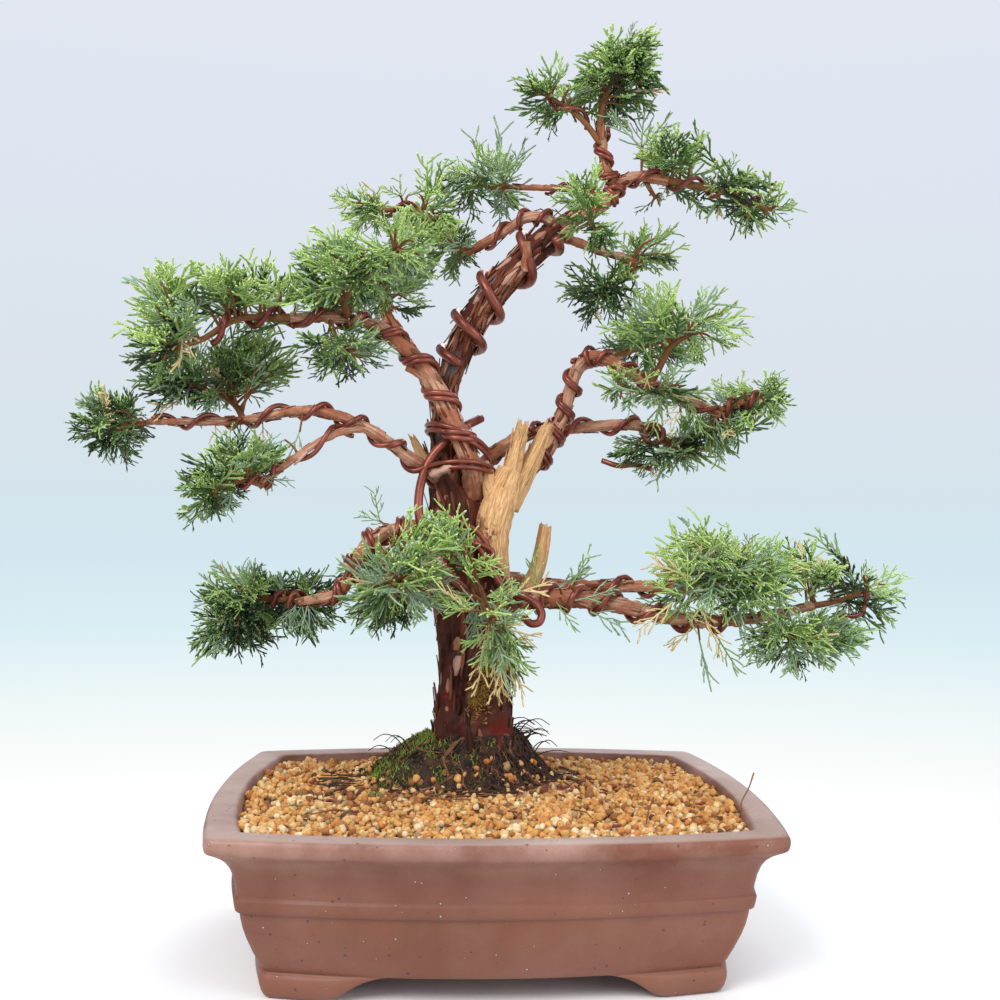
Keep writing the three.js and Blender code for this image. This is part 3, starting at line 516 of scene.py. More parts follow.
def sampleLimb(path, steps):
    # points, headings and radii along a limb's smooth centre line, steps to each span
    path = np.asarray(path, float)
    ends = np.vstack([2 * path[0] - path[1], path, 2 * path[-1] - path[-2]])
    points, slopes = [], []
    for span in range(len(path) - 1):
        p0, p1, p2, p3 = ends[span:span + 4]
        gaps = np.linalg.norm(np.diff(ends[span:span + 4, :3], axis=0), axis=1)
        d0, d1, d2 = np.maximum(gaps ** 0.5, 1e-4)
        m1 = ((p1 - p0) / d0 - (p2 - p0) / (d0 + d1) + (p2 - p1) / d1) * d1
        m2 = ((p2 - p1) / d1 - (p3 - p1) / (d1 + d2) + (p3 - p2) / d2) * d1
        c2, c3 = -3 * p1 + 3 * p2 - 2 * m1 - m2, 2 * p1 - 2 * p2 + m1 + m2
        t = np.linspace(0, 1, steps + 1)[:, None]
        if span < len(path) - 2:
            t = t[:-1]
        points.append(p1 + m1 * t + c2 * t ** 2 + c3 * t ** 3)
        slopes.append((m1 + 2 * c2 * t + 3 * c3 * t ** 2)[:, :3])
    points, slopes = np.vstack(points), np.vstack(slopes)
    headings = slopes / np.linalg.norm(slopes, axis=1)[:, None]
    return points[:, :3], headings, np.maximum(points[:, 3], 0.2)


def runningLength(points):
    return np.concatenate([[0], np.cumsum(np.linalg.norm(np.diff(points, axis=0), axis=1))])


def evenLimb(path, step):
    # the same line with its rings an even step apart
    points, headings, radii = sampleLimb(path, 24)
    lengths = runningLength(points)
    at = np.linspace(0, lengths[-1], max(int(lengths[-1] / step), 2) + 1)
    points, headings = (np.column_stack([np.interp(at, lengths, a[:, k]) for k in range(3)])
                        for a in (points, headings))
    headings /= np.linalg.norm(headings, axis=1)[:, None]
    return points, headings, np.interp(at, lengths, radii), at


def carryFrames(headings):
    # two directions across each ring, carried along without twist
    across = np.array([0.0, 1.0, 0.0]) if abs(headings[0][1]) <= 0.9 else np.array([1.0, 0.0, 0.0])
    frames = []
    for heading in headings:
        across = across - heading * (across @ heading)
        across = across / np.linalg.norm(across)
        frames.append((across, np.cross(heading, across)))
    return np.array(frames)


def unit(vectors):
    return vectors / np.maximum(np.linalg.norm(vectors, axis=-1, keepdims=True), 1e-9)


def lerp(a, b, share):
    return a + (b - a) * share


def ringDirections(frames, turn):
    # for each ring, the direction out at each turn
    return (frames[:, None, 0] * np.cos(turn)[None, :, None]
            + frames[:, None, 1] * np.sin(turn)[None, :, None])


def ringFaces(rings, sides):
    # quads between rings, and a fan over each end to a middle point that follows the rings
    k, i = np.meshgrid(np.arange(rings - 1), np.arange(sides), indexing="ij")
    a = (k * sides + i).ravel()
    b = (k * sides + (i + 1) % sides).ravel()
    quads = np.column_stack([a, b, b + sides, a + sides])
    i = np.arange(sides)
    j = (i + 1) % sides
    last = (rings - 1) * sides
    middle = rings * sides
    fans = np.vstack([
        np.column_stack([np.full(sides, middle), j, i]),
        np.column_stack([np.full(sides, middle + 1), last + i, last + j]),
    ])
    return quads, fans


def limbUv(rings, sides, lengths):
    # the turn and the length (m) at each corner of the faces from ringFaces
    k, i = np.meshgrid(np.arange(rings - 1), np.arange(sides), indexing="ij")
    k, i = k.ravel(), i.ravel()
    turns = np.column_stack([i, i + 1, i + 1, i]) / sides
    heights = lengths[np.column_stack([k, k, k + 1, k + 1])] * mm
    quads = np.dstack([turns, heights]).reshape(-1, 2)
    i = np.arange(sides)

    def endUv(turns, length):
        return np.dstack([np.column_stack(turns) / sides, np.full((sides, 3), length * mm)]).reshape(-1, 2)

    return np.vstack([quads, endUv([i, i + 1, i], lengths[0]), endUv([i, i, i + 1], lengths[-1])])


tornLength = 28  # mm at the end of a limb that its ragged tip draws out


def limbMesh(path, sides, step, relief, tip=None):
    # one limb: relief(space, radii) adds to its radius, and tip(turn) moves its end along it
    points, headings, radii, lengths = evenLimb(path, step)
    frames = carryFrames(headings)
    turn = np.arange(sides) / sides * 2 * math.pi
    out = ringDirections(frames, turn)
    reach = np.repeat(radii[:, None], sides, axis=1)
    mean = radii.mean()
    space = np.dstack(np.broadcast_arrays(np.cos(turn) * mean, np.sin(turn) * mean, lengths[:, None]))
    reach = reach + relief(space.reshape(-1, 3), np.repeat(radii, sides)).reshape(reach.shape)
    skin = points[:, None] + out * reach[:, :, None]
    if tip is not None:
        pull = np.clip((lengths - lengths[-1] + tornLength) / tornLength, 0, 1) ** 1.5
        skin = skin + headings[:, None] * (pull[:, None] * tip(turn)[None, :])[:, :, None]
    hollow = headings[-1] * 2 if tip is not None else 0  # a torn end sinks at its middle
    middle = np.array([skin[0].mean(axis=0), skin[-1].mean(axis=0) - hollow])
    quads, fans = ringFaces(len(points), sides)
    return np.vstack([skin.reshape(-1, 3), middle]), quads, fans, limbUv(len(points), sides, lengths)


def tubeMesh(route, sides, steps=1):
    # a plain round limb
    points, headings, radii = sampleLimb(route, steps)
    frames = carryFrames(headings)
    turn = np.arange(sides) / sides * 2 * math.pi
    out = ringDirections(frames, turn)
    skin = points[:, None] + out * radii[:, None, None]
    lengths = runningLength(points)
    quads, fans = ringFaces(len(points), sides)
    middle = np.array([points[0], points[-1]])
    return np.vstack([skin.reshape(-1, 3), middle]), quads, fans, limbUv(len(points), sides, lengths)


def joinLimbs(name, limbs, material):
    # several limbs in one mesh
    points, quads, fans, quadUv, fanUv, start = [], [], [], [], [], 0
    for limbPoints, limbQuads, limbFans, uv in limbs:
        points.append(limbPoints)
        quads.append(limbQuads + start)
        fans.append(limbFans + start)
        quadUv.append(uv[:4 * len(limbQuads)])
        fanUv.append(uv[4 * len(limbQuads):])
        start += len(limbPoints)
    uv = np.vstack(quadUv + fanUv)
    return addMesh(name, np.vstack(points), [np.vstack(quads), np.vstack(fans)], material, uv)


def noiseAt(points, scale):
    # smooth noise, -1 to 1, with each axis scaled on its own
    scaled = points / np.asarray(scale, float)
    return np.array([noise.noise(Vector(p)) for p in scaled])


# Limbs [x, y, z, radius] from root to tip, in millimetres

trunkFoot = 117  # height of the trunk's flat cut, in the root mound
trunkPath = [
    (-6, 45, trunkFoot, 31.5), (-8, 45, 164, 28.5), (-12, 45, 240, 27.5), (-19, 45, 300, 23.5),
    (-32, 47, 353, 12), (-33, 48, 392, 8), (-26, 47, 421, 9.5), (-4, 45, 466, 11),
    (42, 43, 517, 9.5), (52, 43, 525, 7.5),
]

boughs = {
    "leader": [(46, 43, 521, 6.5), (68, 49, 537, 5.8), (87, 52, 547, 5.4), (96, 52, 559, 4.8),
        (88, 48, 572, 3.9), (83, 46, 604, 3.4)],
    "bough_upper_left": [(-10, 36, 320, 7.5), (-15, 20, 342, 7.5), (-31, 16, 378, 7), (-54, 20, 417, 6),
        (-85, 22, 443, 5)],
    "bough_left_far": [(-83, 22, 442, 4.6), (-109, 18, 447, 4), (-148, 13, 446, 3.4)],
    "bough_mid_left": [(-33, 45, 329, 5.5), (-59, 26, 345, 5), (-95, 10, 368, 4.2), (-132, 8, 378, 3.8),
        (-184, 24, 371, 3.2), (-252, 38, 370, 2.4)],
    "bough_left_drop": [(-95, 10, 367, 3.2), (-116, 0, 360, 2.8), (-148, -8, 337, 2.6),
        (-166, -12, 322, 2.4)],
    "bough_low_left": [(-28, 45, 293, 6.5), (-59, 24, 294, 5.5), (-85, 8, 286, 5), (-98, 0, 267, 4.5),
        (-107, 0, 248, 4), (-138, 20, 239, 3.2)],
    "bough_mid_right": [(-19, 50, 319, 7), (3, 76, 349, 6.2), (35, 90, 370, 5.2), (72, 90, 375, 4.6),
        (115, 80, 378, 4.2), (136, 76, 373, 3.8)],
    "bough_right_rise": [(-7, 55, 298, 8), (23, 70, 329, 6.8), (46, 70, 355, 5.8), (60, 66, 386, 5),
        (68, 56, 419, 4.6)],
    "bough_right_arch": [(68, 56, 418, 4.6), (78, 51, 428, 4.6), (93, 46, 424, 4.4), (122, 37, 406, 4),
        (175, 26, 383, 3)],
    "bough_low_right": [(2, 38, 236, 8), (45, 24, 243, 6.8), (84, 14, 241, 6), (147, 10, 229, 5.2),
        (191, 12, 230, 4.2), (244, 18, 240, 3.4)],
    "bough_low_right_back": [(-4, 60, 258, 6.5), (48, 74, 250, 5.6), (81, 76, 249, 5),
        (123, 73, 250, 4.6), (158, 70, 247, 4)],
    "bough_top_left": [(52, 43, 524, 4.6), (38, 40, 532, 4.2), (24, 44, 531, 3.8), (11, 53, 523, 3.4),
        (-18, 68, 509, 3)],
    "bough_top_left_thin": [(87, 54, 553, 3.2), (62, 64, 560, 2.6), (24, 74, 563, 2.2)],
    "bough_top_right": [(96, 52, 561, 4.6), (112, 50, 568, 4.2), (136, 44, 564, 3.4)],
    "bough_top_drop": [(49, 45, 519, 4.2), (74, 60, 516, 3.4), (118, 80, 508, 2.8)],
    "bough_back_upper": [(-31, 50, 361, 7.5), (-41, 90, 400, 6.5), (-59, 125, 438, 5.5),
        (-80, 150, 470, 4.5)],
    "bough_back_low": [(-14, 50, 247, 6.5), (-42, 110, 245, 6), (-62, 150, 245, 5)],
    "bough_back_right": [(-13, 55, 316, 7.5), (38, 105, 345, 6.5), (66, 130, 389, 5.5), (83, 145, 432, 5),
        (112, 160, 440, 4)],
}

# Masses of foliage: each one's stem [x, y, z, radius] and its lobes [x, y, z, half-sizes]
masses = {
    "apex": (
        [(83, 46, 600, 4), (84, 46, 622, 3.5), (94, 46, 645, 3), (104, 46, 660, 2)],
        [(93, 46, 636, 38, 50, 32), (104, 46, 664, 24, 46, 20)]),
    "apex_left": (
        [(84, 46, 590, 3.5), (68, 46, 610, 3), (44, 46, 626, 2)],
        [(48, 46, 626, 34, 46, 22)]),
    "top_right": (
        [(132, 45, 565, 4), (168, 40, 558, 3.5), (194, 38, 550, 3), (215, 36, 542, 2.5)],
        [(135, 42, 580, 26, 52, 23), (176, 38, 557, 26, 56, 18), (210, 36, 543, 20, 56, 18)]),
    "top_right_low": (
        [(118, 49, 567, 3), (124, 56, 560, 2.5), (129, 60, 555, 2)],
        [(128, 60, 555, 17, 32, 15)]),
    "top_centre": (
        [(84, 51, 546, 4), (76, 30, 541, 3.5), (69, 10, 535, 3), (71, 6, 519, 2)],
        [(66, 8, 534, 25, 34, 29), (77, 2, 503, 14, 30, 14)]),
    "upper_left": (
        [(-14, 66, 511, 4), (-27, 74, 516, 3.5), (-39, 84, 536, 3), (-63, 90, 547, 3),
         (-90, 96, 546, 2.5)],
        [(-98, 96, 545, 29, 50, 18), (-51, 88, 550, 29, 56, 27), (-32, 84, 513, 28, 56, 24)]),
    "upper_left_inner": (
        [(28, 73, 563, 2.5), (8, 80, 565, 3), (-11, 84, 567, 2.5)],
        [(-1, 84, 567, 35, 54, 27)]),
    "under_top": (
        [(114, 78, 509, 3.5), (116, 88, 502, 3), (93, 92, 485, 2.5)],
        [(131, 88, 520, 27, 50, 21), (91, 92, 483, 32, 56, 27)]),
    "mid_right_upper": (
        [(122, 37, 406, 4.5), (130, 32, 422, 3.5), (137, 30, 435, 3), (150, 28, 443, 2)],
        [(122, 30, 452, 36, 54, 28), (164, 26, 447, 24, 56, 30)]),
    "mid_right_inner": (
        [(90, 47, 424, 3), (96, 40, 410, 2.5), (104, 30, 402, 2), (124, 26, 398, 1.8)],
        [(101, 24, 400, 25, 44, 18), (134, 20, 396, 28, 36, 17)]),
    "mid_right_far": (
        [(171, 27, 385, 3.5), (189, 22, 392, 3), (206, 18, 397, 2)],
        [(183, 18, 390, 27, 52, 19), (208, 16, 394, 19, 56, 19), (175, 30, 364, 18, 46, 15)]),
    "mid_right_low": (
        [(133, 77, 374, 4), (141, 74, 366, 3.5), (149, 70, 357, 2.5)],
        [(133, 70, 352, 36, 56, 19), (160, 64, 366, 19, 52, 22)]),
    "left_big": (
        [(-145, 13, 446, 4), (-166, 10, 445, 3.5), (-186, 8, 443, 3.5), (-208, 5, 428, 3),
         (-228, 0, 419, 2)],
        [(-213, -5, 452, 47, 56, 32), (-238, 0, 415, 29, 56, 25), (-175, 6, 458, 42, 50, 34)]),
    "left_centre": (
        [(-106, 18, 447, 3.5), (-108, 4, 458, 3.5), (-94, 2, 476, 3), (-73, 4, 494, 2)],
        [(-112, 10, 474, 40, 60, 34), (-69, 6, 496, 28, 50, 28)]),
    "left_centre_low": (
        [(-120, 17, 447, 3), (-115, 8, 433, 2.5), (-107, 4, 421, 2)],
        [(-107, 4, 421, 32, 56, 23)]),
    "left_under": (
        [(-181, 24, 371, 3.5), (-191, 44, 384, 3), (-208, 56, 395, 2.5), (-231, 60, 398, 2.5)],
        [(-227, 56, 403, 37, 56, 28), (-182, 50, 414, 34, 54, 27)]),
    "left_tip": (
        [(-248, 38, 370, 3), (-263, 40, 368, 2.5), (-280, 42, 363, 2.5)],
        [(-279, 42, 367, 27, 58, 32)]),
    "left_low": (
        [(-163, -12, 323, 3), (-175, -16, 326, 3), (-188, -20, 322, 2.5), (-199, -22, 315, 2)],
        [(-172, -20, 337, 36, 50, 25), (-199, -22, 315, 25, 52, 21)]),
    "low_left": (
        [(-134, 18, 240, 3.5), (-153, 28, 240, 3), (-176, 38, 237, 2.5), (-193, 44, 220, 2.5)],
        [(-180, 40, 241, 35, 56, 23), (-190, 44, 214, 30, 52, 20), (-135, 34, 236, 33, 50, 25)]),
    "low_centre": (
        [(-85, 8, 286, 4), (-76, -20, 271, 3.5), (-68, -38, 255, 2.5)],
        [(-68, -40, 252, 39, 46, 32), (-48, -36, 286, 21, 40, 21)]),
    "front": (
        [(-11, 40, 255, 4.5), (-11, 5, 251, 4), (-8, -30, 245, 3), (-1, -44, 232, 2.5)],
        [(-10, -44, 245, 32, 40, 30), (6, -46, 211, 18, 36, 26), (-33, -40, 293, 17, 32, 18)]),
    "low_right": (
        [(154, 70, 247, 4.5), (166, 50, 257, 4), (171, 25, 264, 3), (189, 8, 265, 2)],
        [(158, 2, 274, 37, 54, 28), (134, -22, 246, 28, 34, 17), (200, 4, 263, 31, 50, 26),
         (184, -8, 240, 36, 36, 13)]),
    "low_right_tip": (
        [(240, 18, 239, 3.5), (262, 20, 243, 3), (283, 20, 250, 2)],
        [(284, 20, 246, 33, 50, 25), (246, 16, 272, 28, 46, 24)]),
    "low_right_under": (
        [(214, 15, 235, 3.5), (220, 15, 223, 3), (226, 14, 213, 2)],
        [(226, 14, 212, 34, 52, 27), (258, 18, 214, 24, 44, 20)]),
    "back_upper": (
        [(-78, 148, 467, 5), (-83, 162, 487, 4.5), (-86, 170, 510, 3)],
        [(-83, 168, 501, 41, 50, 39)]),
    "back_low": (
        [(-60, 147, 246, 5), (-71, 172, 244, 3.5)],
        [(-71, 170, 244, 48, 52, 43)]),
    "back_right": (
        [(110, 159, 440, 4.5), (132, 170, 451, 4.5), (157, 176, 459, 3)],
        [(148, 175, 456, 43, 52, 35)]),
    "back_low_right": (
        [(123, 73, 250, 4), (155, 110, 247, 3.5), (191, 140, 257, 3)],
        [(202, 150, 261, 42, 50, 34)]),
}
massNodes = ["foliage_" + name for name in masses]


# Trunk and boughs with their bark

def platesAt(points, scale):
    # flaking plates: how high each one lifts (0 to 1), and how near its edge a point is (0 at the edge)
    lifts, edges = [], []
    for p in points / np.asarray(scale, float):
        far, spots = noise.voronoi(Vector(p))
        lifts.append(noise.cell(spots[0] * 97.0))
        edges.append(far[1] - far[0])
    return np.abs(np.array(lifts)) % 1.0, np.array(edges)


trunkLook = {"sides": 120, "step": 1.8, "flute": 0.12, "plateLift": 4.8, "roughness": 1.5, "footFlare": 6}
boughLook = {"sides": 20, "step": 2.2, "plateLift": 0.26, "roughness": 0.14, "collar": 0.3}
joinedOn = ("bough_left_far", "bough_right_arch")  # these carry another bough on, with no collar
cutStubs = [[(-46, 23, 402, 3.4), (-56, 20, 409, 2.9), (-63, 18, 412, 2.6)],
            [(27, 36, 492, 4.4), (26, 27, 502, 3.7), (25, 24, 509, 3)]]


def trunkRelief(space, radii):
    # folds up the stem, plates that lift off it in strips, and fine crumbling
    size = np.clip(radii / 27, 0.3, 1.2)
    folds = noiseAt(space, (12, 12, 70)) * trunkLook["flute"] * radii
    lifts, edges = platesAt(space + 3.5 * noiseAt(space, (9, 9, 14))[:, None], (6.5, 6.5, 24))
    plates = (np.clip(edges * 3.0, 0, 1) * lifts ** 1.6 - 0.45) * trunkLook["plateLift"] * size
    fine = noiseAt(space, (1.5, 1.5, 10)) * trunkLook["roughness"] * size
    roots = np.exp(-((space[:, 2]) / 26) ** 2) * trunkLook["footFlare"] * noiseAt(space, (14, 14, 200))
    return folds + plates + fine + roots


def boughRelief(space, radii, collared=True):
    collar = collared * radii[0] * boughLook["collar"] * np.exp(-(space[:, 2] / (1.7 * radii[0])) ** 2)
    folds = noiseAt(space, (4, 4, 30)) * 0.12 * radii
    lifts, edges = platesAt(space, (2.6, 2.6, 11))
    plates = np.clip(edges * 2.5, 0, 1) * lifts ** 2 * boughLook["plateLift"] * radii
    fine = noiseAt(space, (0.9, 0.9, 3)) * boughLook["roughness"] * radii
    return collar + folds + plates + fine - 0.05 * radii


trunkMesh = limbMesh(trunkPath, trunkLook["sides"], trunkLook["step"], trunkRelief)
trunk = joinLimbs("trunk_with_bark", [trunkMesh], trunkBark)
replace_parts(trunk, "trunk")
boughMeshes = []
for name, path in boughs.items():
    relief = partial(boughRelief, collared=name not in joinedOn)
    boughMeshes.append(limbMesh(path, boughLook["sides"], boughLook["step"], relief))
boughMeshes += [limbMesh(path, boughLook["sides"], 1.2, boughRelief) for path in cutStubs]
boughPiece = joinLimbs("boughs_with_bark", boughMeshes, boughBark)
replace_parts(boughPiece, *boughs)


# Flakes that peel off the bark, each a thin strip held at one end

flakeTones = {
    "dark": srgb(62, 32, 25), "red": srgb(116, 58, 38), "brown": srgb(134, 82, 60),
    "tan": srgb(172, 122, 96), "pale": srgb(196, 154, 136),
}
# for a limb: the flakes to each 1000 square millimetres of bark, their sizes, and each tone's share low and
# high up; on the trunk the darker shares low down are painted shade
flakeLooks = {
    "trunk": {"count": 12, "length": (9, 28), "width": (1.2, 3.4), "lift": (0.4, 1.8),
              "low": (0.35, 0.27, 0.2, 0.15, 0.03), "high": (0.08, 0.26, 0.34, 0.24, 0.08)},
    "bough": {"count": 9, "length": (5, 13), "width": (0.8, 1.9), "lift": (0.1, 0.8),
              "low": (0.08, 0.24, 0.24, 0.28, 0.16), "high": (0.08, 0.24, 0.26, 0.28, 0.14)},
}


def flakeMesh(spot, along, out, rng, looks):
    # four corners to a ring, five rings: wide and flat, ragged, lifting towards its free end
    length = rng.uniform(*looks["length"])
    width, lift = rng.uniform(*looks["width"]), rng.uniform(*looks["lift"])
    side = np.cross(out, along)
    share = np.linspace(0, 1, 5)
    way = 1 if rng.random() < 0.6 else -1
    path = along * way + side * rng.normal(0, 0.12)
    centres = spot + path * (share * length)[:, None] + out * (0.2 + lift * share ** 2)[:, None]
    halves = width * np.array([0.7, 1.0, 0.95, 0.8, 0.35]) * rng.uniform(0.7, 1.25, 5)
    rings = np.stack([
        centres + side * halves[:, None], centres + out * 0.55 + side * (0.2 * halves)[:, None],
        centres - side * halves[:, None], centres - out * 0.35,
    ], axis=1)
    if way < 0:
        rings = rings[:, ::-1]
    quads, fans = ringFaces(5, 4)
    middle = np.array([rings[0].mean(axis=0), rings[-1].mean(axis=0)])
    uv = limbUv(5, 4, share * length + rng.uniform(0, 400))
    return np.vstack([rings.reshape(-1, 3), middle]), quads, fans, uv


def makeFlakes(kind, limbs, relief, seed):
    rng = np.random.default_rng(seed)
    looks = flakeLooks[kind]
    flakes = {tone: [] for tone in flakeTones}
    for path in limbs:
        points, headings, radii, lengths = evenLimb(path, 2)
        frames = carryFrames(headings)
        area = 2 * math.pi * radii.mean() * lengths[-1]
        for _ in range(int(looks["count"] * area / 1000)):
            k, angle = rng.integers(1, len(points) - 1), rng.uniform(0, 2 * math.pi)
            out = frames[k][0] * math.cos(angle) + frames[k][1] * math.sin(angle)
            # low flakes take the low shares: on the trunk, painted shade towards the ground
            high = min(max((points[k][2] - 190) / 190, 0), 1)
            shares = np.array(lerp(np.array(looks["low"]), np.array(looks["high"]), high))
            tone = list(flakeTones)[rng.choice(len(flakeTones), p=shares / shares.sum())]
            turned = np.array([[radii.mean() * math.cos(angle), radii.mean() * math.sin(angle), lengths[k]]])
            spot = points[k] + out * (radii[k] + relief(turned, radii[k:k + 1])[0])
            flakes[tone].append(flakeMesh(spot, headings[k], out, rng, looks))
    for tone, meshes in flakes.items():
        if meshes:
            joinLimbs(f"{kind}_flakes_{tone}", meshes, flakeBark[tone])
    return sum(len(m) for m in flakes.values())


flakeBark = {tone: makeBark("flake " + tone, {
    "dark": toned(colour, 0.5), "middle": colour, "warm": toned(colour, 0.8),
    "pale": toned(colour, 1.25, 0.8), "paleCover": 0.5, "paleShare": 0.6, "roughness": 0.85,
    "around": 0.4, "along": 14.0, "stripScale": 4.0, "bump": 0.6,
}) for tone, colour in flakeTones.items()}

# one loose chip at the fork
chipLook = {"length": (17, 17), "width": (3.6, 3.6), "lift": (2, 2)}
chipSeat, chipOut = np.array([-44.5, 11, 332]), np.array([0, -1.0, 0])
chip = flakeMesh(chipSeat, unit(np.array([0.8, 0, 0.6])), chipOut, np.random.default_rng(4), chipLook)
joinLimbs("loose_bark_chip", [chip], flakeBark["pale"])
flakeCount = makeFlakes("trunk", [trunkPath], trunkRelief, 41)
flakeCount += makeFlakes("bough", boughs.values(), partial(boughRelief, collared=False), 43)
print("bark flakes made:", flakeCount)
print("trunk and boughs made:", len(trunk.data.polygons) + len(boughPiece.data.polygons), "faces")


# Dead wood: split prongs with ragged ends

# the node that each limb belongs to, its path, and how ragged its end is (mm)
deadLimbs = [
    ("deadwood_split", [(8, 34, 256, 9), (2, 26, 290, 12.5), (8, 28, 316, 12), (16, 32, 338, 9)], 0),
    ("deadwood_split", [(10, 27, 312, 7.5), (18, 30, 346, 6.5), (25, 32, 374, 4.5)], 9),
    ("deadwood_split", [(15, 34, 310, 8), (30, 40, 342, 7.5), (45, 46, 372, 4.5)], 11),
    ("deadwood_split", [(2, 24, 316, 6), (-2, 26, 334, 4.5), (-4, 27, 343, 3)], 6),
    ("deadwood_side_stub", [(30, 54, 246, 6.5), (38, 54, 262, 6.4), (42, 54, 278, 6), (45, 54, 296, 5)], 6),
    ("deadwood_left_stub", [(-37, 42, 332, 4), (-49, 44, 346, 4), (-58, 44, 363, 2)], 6),
]


deadLook = {
    "sides": 40, "step": 1.6,
    "splinters": 72, "splinterLength": (6, 15), "splinterRadius": (0.5, 1.4), "splinterLean": (0.02, 0.28),
}


def deadRelief(space, radii):
    grain = np.abs(noiseAt(space, (2.2, 2.2, 60))) * 0.22 * radii
    split = -np.clip(noiseAt(space, (4.5, 4.5, 90)) - 0.18, 0, 1) * 0.7 * radii
    return grain + split + noiseAt(space, (1, 1, 8)) * 0.06 * radii


def raggedTip(reach, seed):
    def tip(turn):
        ring = np.column_stack([np.cos(turn) * 2.2, np.sin(turn) * 2.2, 0 * turn + seed * 3.7])
        steps = noiseAt(ring, (1, 1, 1))
        return np.round(steps * 3.5) / 3.5 * reach
    return tip


def splinters(rng):
    # thin slivers that stand off the split prongs
    meshes = []
    for _ in range(deadLook["splinters"]):
        points, headings, radii, _ = evenLimb(deadLimbs[rng.integers(0, 4)][1], 2)
        k = int((len(points) - 1) * rng.uniform(0.3, 0.88))
        angle = rng.uniform(0, 2 * math.pi)
        across, beside = carryFrames(headings[k:k + 1])[0]
        out = across * math.cos(angle) + beside * math.sin(angle)
        start = points[k] + out * radii[k] * 0.85 - headings[k] * 4
        ahead = headings[k] + out * rng.uniform(*deadLook["splinterLean"])
        length, size = rng.uniform(*deadLook["splinterLength"]), rng.uniform(*deadLook["splinterRadius"])
        route = [(*start, size), (*(start + ahead * length * 0.55), 0.8 * size),
                 (*(start + ahead * length), 0.15)]
        meshes.append(tubeMesh(route, 4, 2))
    return meshes


deadMeshes = []
for k, (_, path, ragged) in enumerate(deadLimbs):
    tip = raggedTip(ragged, k) if ragged else None
    deadMeshes.append(limbMesh(path, deadLook["sides"], deadLook["step"], deadRelief, tip))
deadMeshes += splinters(np.random.default_rng(51))
deadPiece = joinLimbs("split_dead_wood", deadMeshes, deadWood)
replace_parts(deadPiece, *dict.fromkeys(name for name, _, _ in deadLimbs))
print("dead wood made")


# Wires

# the limb each one climbs, from and to which share of it, its turns, its radius, the turn's
# start in degrees, and whether a second strand runs beside it
wires = {
    "wire_trunk": ("trunk", 0.66, 0.905, 4, 3.8, 200, False),
    "wire_upper_left": ("bough_upper_left", 0.25, 0.97, 4, 2.1, 90, True),
    "wire_mid_left": ("bough_mid_left", 0.08, 0.8, 5, 1.9, 0, False),
    "wire_mid_right": ("bough_mid_right", 0.4, 0.97, 3, 2.1, 180, False),
    "wire_right_rise": ("bough_right_rise", 0.4, 0.98, 4, 2.1, 0, True),
    "wire_low_right": ("bough_low_right", 0.12, 0.76, 6, 2.5, 45, False),
    "extra_left_far": ("bough_left_far", 0.05, 0.95, 2, 1.9, 40, True),
    "extra_mid_left": ("bough_mid_left", 0.02, 0.3, 2, 1.9, 150, False),
    "extra_low_left": ("bough_low_left", 0.18, 0.9, 4, 2.0, 0, True),
    "extra_left_drop": ("bough_left_drop", 0.1, 0.95, 2, 1.8, 70, False),
    "extra_right_arch": ("bough_right_arch", 0.05, 0.98, 5, 1.9, 120, False),
    "extra_low_right_back": ("bough_low_right_back", 0.25, 0.95, 3, 2.3, 20, False),
    "extra_top_right": ("bough_top_right", 0.1, 0.9, 1, 1.9, 60, False),
    "extra_top_left": ("bough_top_left", 0.1, 0.9, 3, 1.9, 30, False),
    "extra_leader": ("leader", 0.45, 0.97, 4, 1.7, 250, True),
    "extra_top_left_thin": ("bough_top_left_thin", 0.08, 0.75, 2, 1.5, 40, False),
    "extra_stem_upper_left": ("upper_left", 0.35, 0.95, 2, 1.8, 40, False),
    "extra_mid_left_tip": ("bough_mid_left", 0.79, 0.99, 2, 1.8, 200, False),
    "extra_stem_left_big": ("left_big", 0.0, 0.72, 2, 2.3, 60, False),
    "extra_stem_top_right": ("top_right", 0.0, 0.85, 3, 1.7, 30, False),
    "extra_stem_right_far": ("mid_right_far", 0.0, 0.95, 2, 2.1, 0, False),
    "extra_stem_low_left": ("low_left", 0.0, 0.42, 2, 2.1, 80, False),
    "extra_stem_left_low": ("left_low", 0.0, 0.45, 1, 1.8, 10, False),
    "extra_stem_apex_left": ("apex_left", 0.35, 1.0, 1, 1.8, 10, False),
}

# coils round the whole fork: middle and half widths at their start and end
forkCoils = {"low": (-22, 38, 318, 27, 28), "high": (-25, 33, 364, 22, 26), "turns": 2, "radius": 1.85,
             "tilt": 11, "twin": 4.3}

# the two rings that a wire ends in, in front of the bough at the middle right
endRings = {"middle": (131, 66, 370), "reach": 7.5, "radius": 2.1}

